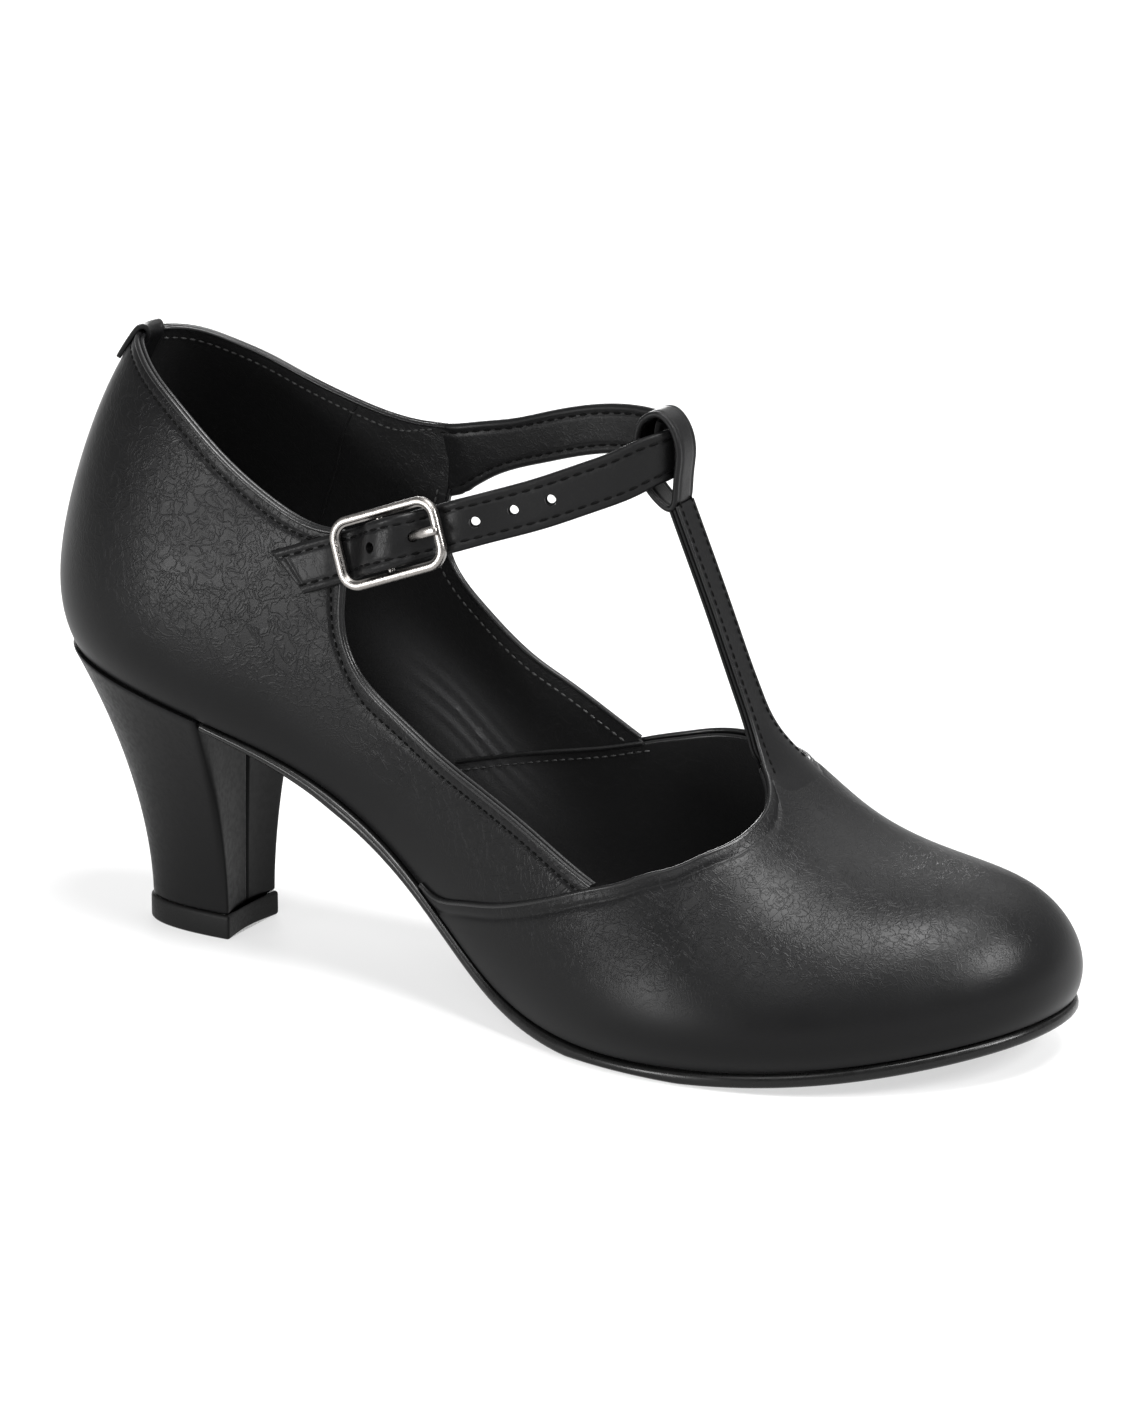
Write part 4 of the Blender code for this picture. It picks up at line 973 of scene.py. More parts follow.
# %% Stitches along the cut edges
COVERED_COLUMNS = 4


def beside(kind, other, reach):
    """Columns within a reach of an edge of another kind."""
    return np.convolve(kind == other, np.ones(2 * reach + 1), mode="same") > 0


# name, sheet, edges, lift off the last, side of the leather, whether it joins at the back, and thread
SEAMS = [
    ("quarter_stitches", quarter_grid, QUARTER_EDGES, QUARTER_FACE - TROUGH_DEPTH, 1.0, True, THREAD),
    ("lining_stitches", quarter_grid, QUARTER_EDGES, -2.06, -1.0, True, PAINTED_SHEEN_THREAD),
    ("vamp_stitches", vamp_grid, (THROAT, SEAM), VAMP_FACE - TROUGH_DEPTH, 1.0, False, THREAD),
]
for title, grid, kinds, lift, side, closed, thread in SEAMS:
    picked, points, normals = edge_line(grid, kinds, STITCH_ROW, lift)
    if thread is PAINTED_SHEEN_THREAD:
        picked &= ~beside(grid[3], THROAT, COVERED_COLUMNS)
    for number, group in enumerate(runs_of(picked, closed)):
        stitches(f"{title}_{number}", points[group], side * normals[group], thread=thread)

# %% [markdown]
# ## Seams of the lining
#
# Two seams show inside the shoe. The vamp's lining starts along the vamp's own seam and ends there in a
# rolled edge with a row of stitches, and an upright seam joins the lining of the inner side to that of the
# heel. Both are lines of the last at the depth of the lining, so the same bead and stitches serve.

# %% Seams of the lining
LINING_FACE, SEAM_STEP = -2.0, np.array([0.8, 0.0, -1.9])
HEEL_SEAM = [(65, 11.5, 115.6), (63, 12.5, 113.2), (57.4, 15.8, 100.7), (51.7, 18.9, 88.2), (47, 20.5, 72)]


def lining_line(rows, outer, step=(0.0, 0.0, 0.0)):
    """A smooth line on the lining through table points, and its normals into the shoe."""
    pairs = smooth_path(dropped(np.asarray(rows) + step, outer), 90)
    return last(*pairs.T, LINING_FACE), -last_normal(*pairs.T)


bead("heel_lining_seam", lining_line(HEEL_SEAM, False)[0], 0.3, LINING, "lining")
for rows, outer, side_name in ((INNER_SEAM, False, "inner"), (OUTER_SEAM, True, "outer")):
    bead(f"vamp_lining_edge_{side_name}", lining_line(rows, outer)[0], 0.5, LINING, "lining")
    stitches(f"vamp_lining_stitches_{side_name}", *lining_line(rows, outer, SEAM_STEP), slot="lining",
             thread=PAINTED_SHEEN_THREAD)

# %% [markdown]
# ## Insole, sole, heel and top lift
#
# These pieces take the last's outline too. Each is a stack of rings: the insole inside the wall, the sole
# just outside it with a rounded edge that is pared away towards the heel, and the heel drawn in from the seat
# to a small foot, hollow at the sides and the front. A ring's corners are softened by averaging neighbouring
# points, as sandpaper would.

# %% Rings of the sole and insole
CLEAR = 0.3
SOLE_THICK, SOLE_PROUD, SOLE_END_X, SKIVE_REACH = 3.0, 1.2, 47.2, 32.0
INSOLE_THICK, INSOLE_INSET = 2.2, 2.5


def lofted(name, loops, material, values=None):
    loops = np.asarray(loops)
    faces = grid_faces(len(loops), len(loops[0]), close_points=True) + capped(len(loops), len(loops[0]))
    return piece(name, loops, faces, material, values)


def sole_loop(grow, height, skive=0.0):
    """A loop from the middle of the rear edge, along the outer side to the toe and back."""
    start = SOLE_END_X + SOLE_PROUD
    stations = start + (TIP_X - start) * (1 - np.linspace(1, 0, 150) ** 2)
    u = np.concatenate([u_at(stations, True), u_at(stations[-2::-1], False)])
    x, y, nx, ny = plan(u)
    inward = grow - skive * np.clip(1 - (x - start) / SKIVE_REACH, 0, 1)
    x, y = x + nx * inward, y + ny * inward
    x[0] = x[-1] = start - grow
    rear = [(x[0] + x[-1]) / 2, (y[0] + y[-1]) / 2]
    flat = np.concatenate([[rear], np.stack([x, y], 1)])
    return np.column_stack([flat, height(flat[:, 0])])


def sole_floor(x):
    return np.maximum(feather_z(x) - CLEAR - SOLE_THICK, 0.0)


def sole_level(share):
    """Height at a share of the sole's thickness."""
    return lambda x: sole_floor(x) + (feather_z(x) - CLEAR - sole_floor(x)) * share


# share of the thickness, how far the edge draws in there, and how much more where it is pared at the heel
SOLE_EDGE_FORM = [
    (0.0, 1.3, 3.8), (0.03, 0.75, 3.6), (0.11, 0.3, 3.2), (0.25, 0.05, 2.5), (0.45, 0.0, 1.6),
    (0.62, 0.05, 1.0), (0.78, 0.2, 0.8), (0.9, 0.5, 0.7), (1.0, 1.0, 0.7),
]
sole_loops = [sole_loop(SOLE_PROUD - pull, sole_level(share), skive) for share, pull, skive in SOLE_EDGE_FORM]
sole = lofted("sole", sole_loops, SOLE_EDGE)
settle(sole, "sole_black", "outsole")


def whole_loop(inset, rise):
    """A loop round the whole foot bed."""
    share = (1 - np.cos(np.linspace(0, math.pi, 140))) / 2
    stations = HEEL_X + (TIP_X - HEEL_X) * share
    u = np.concatenate([u_at(stations, True), u_at(stations[-2:0:-1], False)])
    u[0] = 0.0
    x, y, nx, ny = plan(u)
    flat = np.stack([x - nx * inset, y - ny * inset], 1)
    return np.column_stack([flat, feather_z(flat[:, 0]) + rise])


# how far the foot bed draws in, and the height there, with a skirt that closes the gap to the lining
INSOLE_FORM = [
    (-0.9, 0.0), (-0.9, 0.45), (0.0, 0.9), (0.0, 1.3), (0.15, 1.75), (0.5, 2.05), (1.2, INSOLE_THICK),
]
insole = lofted("foot_bed", [whole_loop(INSOLE_INSET + pull, rise) for pull, rise in INSOLE_FORM], FOOT_BED)
settle(insole, "lining", "insole")

# %% Rings of the heel
BREAST_X, HEEL_PROUD, HEEL_BACK_X = 46.5, 0.5, 22.5
HEEL_BASE_HALF, HEEL_BASE_Y, HEEL_FLARE = 9.8, -3.2, 1.75
BREAST_HOLLOW, LIFT_HEIGHT, LIFT_LIP = 1.2, 5.5, 0.5
HEEL_POINTS, SOFT_ROUNDS = 320, 6
COVER_SEAM_DEPTH, COVER_SEAM_HALF = 0.55, 1.1
# share of the way down and how far the ring draws in there, at the seat and at the foot of the heel
HEEL_TOP_RIM = [(0.0, 0.012), (0.004, 0.004), (0.012, 0.0)]
HEEL_FOOT_RIM = [(0.995, 0.004), (1.0, 0.014)]
HEEL_LEVELS = HEEL_TOP_RIM + [(t, 0.0) for t in np.linspace(0.03, 0.985, 44)] + HEEL_FOOT_RIM


def heel_ring(side):
    """A closed ring from the middle of the breast round the outer side, evened and softened."""
    share = np.linspace(0, 1, 41)[:, None]
    breast = side[-1] + (side[0] - side[-1]) * share
    breast[:, 0] -= BREAST_HOLLOW * np.sin(math.pi * share[:, 0])
    fine = np.concatenate([breast[20:-1], side, breast[1:21]])
    ring = evened(fine, HEEL_POINTS, closed=True)
    for _ in range(SOFT_ROUNDS):
        ring = (np.roll(ring, 1, 0) + 2 * ring + np.roll(ring, -1, 0)) / 4
    return ring


def heel_seat():
    share = np.linspace(0, 1, 80)
    outer = u_at(BREAST_X, True) * (1 - share)
    inner = 1 - (1 - u_at(BREAST_X, False)) * share
    x, y, nx, ny = plan(np.concatenate([outer, inner[1:]]))
    return np.stack([x + nx * HEEL_PROUD, y + ny * HEEL_PROUD], 1)


def heel_base(grow):
    turn = np.linspace(-math.pi / 2, math.pi / 2, 159)
    x = BREAST_X + grow - (BREAST_X - HEEL_BACK_X + 2 * grow) * np.cos(turn) ** 0.75
    y = HEEL_BASE_Y + (HEEL_BASE_HALF + grow) * np.sign(turn) * np.abs(np.sin(turn)) ** 0.85
    return np.stack([x, y], 1)


def seamed(ring, depth):
    """Sink the joint of the heel cover down the middle of the breast."""
    away = np.minimum(np.arange(HEEL_POINTS), HEEL_POINTS - np.arange(HEEL_POINTS))
    ring = ring.copy()
    ring[:, 0] -= depth * np.exp(-(away / COVER_SEAM_HALF) ** 2)
    return ring


seat, base = heel_ring(heel_seat()), heel_ring(heel_base(0.0))
seat_z, base_z = feather_z(seat[:, 0]) - CLEAR, LIFT_HEIGHT + CLEAR
heel_loops = []
for t, tuck in HEEL_LEVELS:
    flat = seat + (base - seat) * (1 - (1 - t) ** HEEL_FLARE)
    flat = flat + (flat.mean(0) - flat) * tuck
    heel_loops.append(np.column_stack([seamed(flat, COVER_SEAM_DEPTH), seat_z + (base_z - seat_z) * t]))
heel = lofted("heel_block", heel_loops, HEEL_BLACK)
settle(heel, "heel_black", "heel")
# height and how far the lift grows or draws in there
LIFT_FORM = [
    (0.0, -0.6), (0.12, -0.3), (0.4, -0.06), (0.8, 0.0), (4.6, 0.0), (5.1, -0.08), (5.38, -0.3), (5.5, -0.7),
]
lift_loops = []
for z, grow in LIFT_FORM:
    flat = heel_ring(heel_base(LIFT_LIP + grow))
    lift_loops.append(np.column_stack([flat, np.full(len(flat), z)]))
lift = lofted("heel_lift", lift_loops, LIFT_RUBBER)
settle(lift, "lift_rubber", "top_lift")

# %% [markdown]
# ## The ankle strap
#
# The strap is two leathers folded and sewn, so its section isn't a plain rectangle: its edges are round, a
# trough follows each row of stitches, and the middle is full. That section is carried along a path from the
# inner quarter, through the loop, over the buckle's bar and down onto the outer quarter. It starts wide and
# thin inside the wall of the quarter, and ends in a slant that is rounded and sewn across. A ready-made sweep
# would keep one width, so the rings are placed here by a loop. The punched holes are cut with a Boolean,
# because they must go right through, and each gets a pressed rim.

# %% Path and section of the strap
STRAP_WIDTH, STRAP_ROOT_WIDTH, STRAP_THICK, ROOT_THICK = 10.5, 16.4, 1.8, 1.2
STRAP_SLANT, SLANT_REACH, ROOT_HIDDEN, ROOT_TAPER = 2.6, 6.0, 8.0, 22.0
END_ROUND, END_STITCH_INSET = 0.8, 1.9
STRAP_TROUGH, STRAP_TROUGH_HALF, STRAP_PLAY = 0.2, 0.5, 0.15
STRAP_ROWS, END_ROWS, END_FINE_ROWS = 350, 11, 46
# x, y, z, lean of the width
ANKLE_ROUTE = [
    (89.7, 10.9, 107.7, -0.16), (97, 10.4, 110.4, -0.12), (107.3, 9.2, 113.6, -0.08),
    (118, 7.8, 117, -0.04), (128.5, 6.8, 119.5, 0), (138, 5.4, 120.3, 0), (143.8, 3.5, 119.8, 0),
    (147.5, -0.8, 118.6, 0), (144.6, -5.1, 117.1, 0), (141, -7.3, 115, 0), (133, -10.3, 111.3, 0.04),
    (124, -13.5, 107.6, 0.08), (114.5, -17.1, 104.4, 0.12),
]
BUCKLE_WEAVE = [
    (16.2, 0), (13.8, 0), (11.5, 0), (9.2, 0.8), (7, 2.3), (4.8, 4), (2.4, 4.7), (0, 4.7),
    (-2.2, 4.05), (-4.4, 2.5), (-6.6, 1), (-8.9, 0.3), (-11.2, 0.3),
]
BUCKLE_SEAT, BUCKLE_RUN, BUCKLE_LEAN = (92.6, -21.5, 96.6), (0.934, 0.07, 0.348), 0.165
STRAP_END = [-15.5, -19, -22.5, -25]
RUN = unit(np.asarray(BUCKLE_RUN))
ACROSS = np.array([0, BUCKLE_LEAN, 1.0])
ACROSS = unit(ACROSS - (ACROSS @ RUN) * RUN)
OUT = np.cross(RUN, ACROSS)


def at_buckle(along, rise, across=0.0):
    """A point given by its place along the strap, its rise and its place across."""
    return np.asarray(BUCKLE_SEAT) + along * RUN + rise * OUT + across * ACROSS


def on_quarter(along, lift):
    """A point over the outer quarter, in line with the strap."""
    u, theta = dropped([at_buckle(along, 0.0)], True)[0]
    return last(u, theta, lift)


def frames(points, up):
    """Directions along, across and out of a path."""
    run = unit(np.gradient(points, axis=0))
    across = unit(up - (up * run).sum(1)[:, None] * run)
    return run, across, np.cross(run, across)


def strap_section(half, thick, inset, end_sunk=0.0):
    """Places across and through a sewn strap: round edges, sewn troughs and a full middle."""
    across = np.concatenate([np.linspace(-1, -0.5, 12), np.linspace(-0.4, 0.4, 7), np.linspace(0.5, 1, 12)])
    across = across * (half - thick / 2)
    sunk = np.exp(-((half - np.abs(across) - inset) / STRAP_TROUGH_HALF) ** 2)
    sunk = np.maximum(sunk, end_sunk * (np.abs(across) < half - inset))
    face = thick / 2 - STRAP_TROUGH * sunk
    turn = np.linspace(math.pi / 2, -math.pi / 2, 9)[1:-1]
    end = np.stack([half - thick / 2 + thick / 2 * np.cos(turn), thick / 2 * np.sin(turn)], 1)
    top = np.stack([across, face], 1)
    return np.concatenate([top, end, -top, -end])


rest = QUARTER_FACE + CLEAR + STRAP_THICK / 2 + STRAP_PLAY
ROOT_ON_QUARTER = [(80.5, 12.5, 104.6), (84.5, 11.8, 106)]
WALL_MIDDLE = -1.2
route = [tuple(last(*pair, WALL_MIDDLE)) for pair in dropped(ROOT_ON_QUARTER, False)]
leans = [ANKLE_ROUTE[0][3]] * len(route) + [row[3] for row in ANKLE_ROUTE]
route += [row[:3] for row in ANKLE_ROUTE]
route += [tuple(at_buckle(a, r)) for a, r in BUCKLE_WEAVE] + [tuple(on_quarter(a, rest)) for a in STRAP_END]
leans += [BUCKLE_LEAN] * (len(route) - len(leans))
strap_path = smooth_path(np.column_stack([route, leans]), STRAP_ROWS)
end_from = STRAP_ROWS - END_ROWS
rows = np.concatenate([np.arange(end_from), np.linspace(end_from, STRAP_ROWS - 1, END_FINE_ROWS)])
strap_path = np.stack([np.interp(rows, np.arange(STRAP_ROWS), part) for part in strap_path.T], 1)
strap_points = strap_path[:, :3]
strap_up = np.column_stack([np.zeros(len(strap_path)), strap_path[:, 3], np.ones(len(strap_path))])
strap_run, strap_across, strap_out = frames(strap_points, strap_up)
strap_done = chords(strap_points)
root_share = np.clip(1 - (strap_done - ROOT_HIDDEN) / ROOT_TAPER, 0, 1)
strap_half = (STRAP_WIDTH + (STRAP_ROOT_WIDTH - STRAP_WIDTH) * root_share ** 2) / 2
strap_thick = np.interp(strap_done, [ROOT_HIDDEN, ROOT_HIDDEN + 5], [ROOT_THICK, STRAP_THICK])
strap_left = strap_done[-1] - strap_done
strap_thick *= np.sqrt(np.clip(1 - np.clip(1 - strap_left / END_ROUND, 0, 1) ** 2, 0.1, 1))
end_sunk = np.exp(-((strap_left - END_STITCH_INSET) / STRAP_TROUGH_HALF) ** 2)
strap_slant = STRAP_SLANT * np.clip(1 - strap_left / SLANT_REACH, 0, 1)
print("strap length in mm:", round(strap_done[-1], 1))

# %% Strap with its holes
STRAP_HOLES = [(111.4, -18.3, 103.3), (118.7, -15.6, 105.9), (125.9, -12.8, 108.5)]
HOLE_WAY, HOLE_RADIUS = (0.35, -0.93, 0), 1.2
WOVEN_HOLE, WOVEN_SLOPE = (-1.5, 4.4), 0.3
# place along the strap, rise and slope in degrees
PRONG_SLOT, PRONG_RADIUS, SLOT_PLAY = (6.7, 2.45, 24), 0.75, 0.4
HOLE_CUT, SLOT_CUT = 6, 7
STRAP_STITCH_INSET = 1.9


def strap_at(index, across, out):
    """A point of the strap from its place along, across and through."""
    half = strap_half[index]
    slide = strap_slant[index] * np.clip(across / half, -1, 1)
    return (strap_points[index] + across * strap_across[index] + out * strap_out[index]
            + slide * strap_run[index])


def swept_strap():
    loops = []
    for i in range(len(strap_points)):
        section = strap_section(strap_half[i], strap_thick[i], STRAP_STITCH_INSET, end_sunk[i])
        loops.append([strap_at(i, a, b) for a, b in section])
    return np.asarray(loops)


def rod(name, middle, way, radius, length, sides=32):
    """A cylinder along a way, for cutting."""
    way = unit(np.asarray(way, float))
    side = unit(np.cross(way, (0.3, 0.1, 0.9)))
    other = np.cross(way, side)
    angles = np.linspace(0, 2 * math.pi, sides, endpoint=False)
    ring = radius * (np.cos(angles)[:, None] * side + np.sin(angles)[:, None] * other)
    return lofted(name, [middle - way * length / 2 + ring, middle + way * length / 2 + ring], THREAD)


def cut(made, cutters):
    for cutter in cutters:
        step = made.modifiers.new("cut", 'BOOLEAN')
        step.object = cutter
        step.operation = 'DIFFERENCE'
        step.solver = 'EXACT'
    plain(made)
    for cutter in cutters:
        bpy.data.objects.remove(cutter, do_unlink=True)
    made.data.set_sharp_from_angle(angle=SMOOTH_ANGLE)
    return made


strap = lofted("ankle_strap_leather", swept_strap(), STRAP_LEATHER)
slope = math.radians(PRONG_SLOT[2])
cutters = [rod("hole", np.asarray(h), HOLE_WAY, HOLE_RADIUS, HOLE_CUT) for h in STRAP_HOLES]
cutters.append(rod("woven_hole", at_buckle(*WOVEN_HOLE), OUT - WOVEN_SLOPE * RUN, HOLE_RADIUS, HOLE_CUT))
cutters.append(rod("slot", at_buckle(*PRONG_SLOT[:2]), RUN * math.cos(slope) + OUT * math.sin(slope),
                   PRONG_RADIUS + SLOT_PLAY, SLOT_CUT))
cut(strap, cutters)
settle(strap, "strap_leather", "ankle_strap")

# %% Rims and rolled edges of the strap
HOLE_RIM, RIM_SIDES = 0.28, 24
ROOT_ROWS, ROOT_STEP, ROOT_EDGE, ROOT_COLUMNS = (20, 64), 4, 0.55, 10
ROOT_RADIUS, ROOT_LIFT = 0.62, -0.8


def hole_rim(name, middle):
    """A pressed ring round a hole, on the strap's outer face."""
    near = int(np.argmin(np.linalg.norm(strap_points - middle, axis=1)))
    face = strap_points[near] + STRAP_THICK / 2 * strap_out[near]
    away = np.asarray(middle) - strap_points[near]
    for way in (strap_across[near], strap_run[near]):
        face = face + (away @ way) * way
    angles = np.linspace(0, 2 * math.pi, RIM_SIDES + 1)
    ring = np.cos(angles)[:, None] * strap_across[near] + np.sin(angles)[:, None] * strap_run[near]
    return bead(name, face + HOLE_RADIUS * ring, HOLE_RIM, STRAP_LEATHER, "strap_leather")


for number, spot in enumerate(STRAP_HOLES):
    hole_rim(f"hole_rim_{number}", np.asarray(spot))


def root_bead(name, kind, side):
    """A rolled edge that leaves the quarter's cut edge and dies away along the strap's edge."""
    picked, points, _ = edge_line(quarter_grid, (kind,), 0, ROOT_LIFT)
    inner = [i for i in np.flatnonzero(picked) if points[i][1] > 0]
    on_edge = points[inner]
    root = strap_points[0]
    nearest = np.argsort(np.linalg.norm(on_edge - root, axis=1))
    if nearest[0] < len(on_edge) / 2:
        on_edge = on_edge[:ROOT_COLUMNS][::-1]
    else:
        on_edge = on_edge[-ROOT_COLUMNS:]
    rows = np.arange(*ROOT_ROWS, ROOT_STEP)
    sink = np.linspace(0.0, ROOT_RADIUS, len(rows))
    along = [strap_at(i, side * (strap_half[i] - ROOT_EDGE - d), 0.0) for i, d in zip(rows, sink)]
    path = smooth_path(np.concatenate([on_edge, along]), 60)
    return bead(name, path, ROOT_RADIUS, BINDING, "strap_leather")


root_bead("root_bead_upper", TOPLINE, 1)
root_bead("root_bead_lower", FRONT, -1)

# %% Stitches of the strap
SEWN_FROM, END_STITCH_POINTS = 9.3, 30


def strap_seam(name, side, face):
    """A row of stitches along one edge of the strap, on its outer or inner face."""
    index = np.flatnonzero((strap_done > SEWN_FROM) & (strap_left > END_STITCH_INSET))
    offsets = side * (strap_half[index] - STRAP_STITCH_INSET)
    depths = face * (strap_thick[index] / 2 - STRAP_TROUGH)
    points = [strap_at(i, a, d) for i, a, d in zip(index, offsets, depths)]
    return stitches(name, points, face * strap_out[index], STRAP_STITCH)


for side, side_name in ((1, "upper"), (-1, "lower")):
    for face, face_name in ((1, "outer"), (-1, "inner")):
        strap_seam(f"strap_stitches_{side_name}_{face_name}", side, face)
end = int(np.argmin(np.abs(strap_left - END_STITCH_INSET)))
across_end = np.linspace(-1, 1, END_STITCH_POINTS) * (strap_half[end] - STRAP_STITCH_INSET)
end_points = [strap_at(end, a, STRAP_THICK / 2 - STRAP_TROUGH) for a in across_end]
stitches("strap_stitches_end", end_points, np.tile(strap_out[end], (END_STITCH_POINTS, 1)), STRAP_STITCH)

# %% [markdown]
# ## The T-strap and its loop
#
# The T-strap rises from the throat and ends in a loop that holds the ankle strap. It is folded from several
# layers, and they show as lines along its sides, so its section has three round edges one over another.

# %% T-strap
T_STRAP = [
    (170.2, 0.8, 52.6, 5), (169.9, 0.8, 55, 6.4), (169.6, 0.8, 57, 8), (168.9, 0.8, 58.3, 8.6),
    (168.1, 0.7, 60.3, 8.4), (167, 0.6, 63.4, 7.8),
    (164.2, 0.3, 70.5, 7), (158, -0.2, 86.5, 6.6), (152.2, -0.7, 101, 6.6), (149.4, -1, 108, 6.6),
]
LOOP = [
    (148.9, 107.5), (150.1, 113), (150.6, 119), (149.2, 124), (145.8, 126.8), (142, 124.8),
    (140.9, 120.5), (141.6, 115), (144.6, 110),
]
T_STRAP_THICK, LOOP_WIDTH, LOOP_THICK, LOOP_Y = 2.6, 7.5, 1.4, -1.0
T_LAYERS, T_ROWS, LOOP_POINTS, THIN_STRAP_INSET = 3, 98, 120, 1.2


def layered_section(half, thick, layers):
    """A strap's section with one round edge for each layer."""
    each = thick / layers
    middles = thick / 2 - each * (np.arange(layers) + 0.5)
    turn = np.linspace(math.pi / 2, -math.pi / 2, 7)
    flat = half - each / 2
    side = [(flat + each / 2 * math.cos(t), m + each / 2 * math.sin(t)) for m in middles for t in turn]
    face = [(a * flat, thick / 2) for a in np.linspace(-1, 1, 11)[1:-1]]
    back = [(-a, -b) for a, b in face]
    return np.array(face + side + back + [(-a, -b) for a, b in side])


t_rows = smooth_path(T_STRAP, T_ROWS)
t_points = t_rows[:, :3]
_, t_across, t_out = frames(t_points, np.tile([0.0, 1.0, 0.0], (len(t_rows), 1)))
t_loops = []
for i, width in enumerate(t_rows[:, 3]):
    section = layered_section(width / 2, T_STRAP_THICK, T_LAYERS)
    t_loops.append([t_points[i] + a * t_across[i] + b * t_out[i] for a, b in section])
t_strap = lofted("t_strap_leather", t_loops, STRAP_LEATHER)
settle(t_strap, "strap_leather", "t_strap")
front = 1 if t_out[T_ROWS // 2][0] > 0 else -1

# %% [markdown]
# The T-strap's front leather is cut in one with the vamp, so it has to leave the vamp without a step. The
# sheet below starts just under the vamp's surface on the ridge, climbs out of it, and runs up the strap. Each
# of its long lines is a spline of its own, and its sides sink into the vamp where they leave it.

# %% T-strap front
# ridge x, lift off the last, reach to the outer and to the inner side
FRONT_FOOT = [(182, 0.05, 12, 16.5), (179, 0.3, 11, 15.5), (176, 0.55, 9.6, 14), (173.4, 0.85, 7.6, 12)]
FRONT_SINK, FRONT_PROUD, FRONT_FACE = 0.55, 0.2, 0.8
FRONT_ROWS, FRONT_LINES = 110, 17
ON_STRAP = list(range(24, T_ROWS - 5, 6)) + [T_ROWS - 1]
FRONT_STITCH, FRONT_BEAD, FRONT_GRAIN = 0.75, 0.42, 0.35
STITCH_FROM_ROW, BEAD_FROM_ROW = 19, 16


def front_line(share):
    """Points of one long line of the front leather, from the vamp up the strap."""
    knots = []
    for x, lift, outer_reach, inner_reach in FRONT_FOOT:
        ridge = last(ridge_start(True, x), math.pi / 2)
        spot = ridge + np.array([0.0, share * (outer_reach if share < 0 else inner_reach), 0.0])
        pair = dropped([spot], share < 0)[0]
        knots.append(last(*pair, lift - FRONT_SINK * abs(share) ** 4))
    for i in ON_STRAP:
        out = front * (T_STRAP_THICK / 2 + FRONT_PROUD) * t_out[i]
        knots.append(t_points[i] + share * t_rows[i, 3] / 2 * t_across[i] + out)
    return smooth_path(knots, FRONT_ROWS)


shares = np.linspace(-1, 1, FRONT_LINES)
front_grid = np.stack([front_line(share) for share in shares])
front_up = unit(np.cross(np.gradient(front_grid, axis=0), np.gradient(front_grid, axis=1)))
front_up *= np.sign(front_up[FRONT_LINES // 2, 0, 2])
front_leather = slab("t_strap_front", front_grid, front_grid - FRONT_FACE * front_up, VAMP_LEATHER,
                     turned=True, grain=FRONT_GRAIN)
settle(front_leather, "strap_leather")
for side, side_name in ((-1, "outer"), (1, "inner")):
    line = int(np.argmin(np.abs(shares - side * FRONT_STITCH)))
    sewn, ups = front_grid[line][STITCH_FROM_ROW:], front_up[line][STITCH_FROM_ROW:]
    stitches(f"t_strap_stitches_{side_name}", sewn, ups)
    line = 0 if side < 0 else FRONT_LINES - 1
    rolled = front_grid[line] - FRONT_BEAD * front_up[line]
    bead(f"t_strap_bead_{side_name}", rolled[BEAD_FROM_ROW:], FRONT_BEAD, BINDING, "strap_leather")

# %% Loop
loop_ring = smooth_ring(LOOP, LOOP_POINTS)
loop_points = np.column_stack([loop_ring[:, 0], np.full(LOOP_POINTS, LOOP_Y), loop_ring[:, 1]])
loop_ahead = unit(np.roll(loop_points, -1, 0) - np.roll(loop_points, 1, 0))
loop_side = np.array([0.0, 1.0, 0.0])
loop_section = strap_section(LOOP_WIDTH / 2, LOOP_THICK, THIN_STRAP_INSET)
loops = [[p + a * loop_side + b * np.cross(way, loop_side) for a, b in loop_section]
         for p, way in zip(loop_points, loop_ahead)]
loops = np.asarray(loops)
loop = piece("strap_loop", loops, grid_faces(*loops.shape[:2], True, True), STRAP_LEATHER)
settle(loop, "strap_leather")

# %% [markdown]
# ## The buckle
#
# The buckle is a bent and polished nickel band. Its section is drawn as a few points, inset and height, and
# carried round a rectangle with round corners. A bar crosses its middle, behind the strap, and a prong hooked
# on the bar comes up through a hole and rests on the frame.

# %% Buckle
BUCKLE_LENGTH, BUCKLE_WIDTH, BUCKLE_BAND, BUCKLE_THICK, BUCKLE_SHIFT = 26.1, 15.6, 2.1, 2.0, 1.3
BUCKLE_CORNER, BUCKLE_RISE, BAR_RADIUS, BAR_RISE = 4.6, 2.6, 0.7, 1.5
# place from the outer to the inner side of the band, height: both as shares of their half
BAND_FORM = [
    (-1, -0.4), (-0.85, -0.8), (-0.5, -1), (0.5, -1), (0.85, -0.8), (1, -0.4), (1, 0.1), (0.94, 0.28),
    (0.66, 0.4), (0.56, 0.48), (0.5, 0.72), (0.42, 0.9), (0.26, 0.98), (0.0, 1.0), (-0.35, 0.98),
    (-0.66, 0.9), (-0.86, 0.74), (-0.97, 0.5), (-1, 0.3),
]


def rounded_rectangle(length, width, radius, count):
    """Points round a rectangle with round corners."""
    points = []
    for along, across, start in ((1, -1, -90), (1, 1, 0), (-1, 1, 90), (-1, -1, 180)):
        middle = (along * (length / 2 - radius), across * (width / 2 - radius))
        for angle in np.radians(np.linspace(start, start + 90, count)):
            points.append((middle[0] + radius * math.cos(angle), middle[1] + radius * math.sin(angle)))
    return points


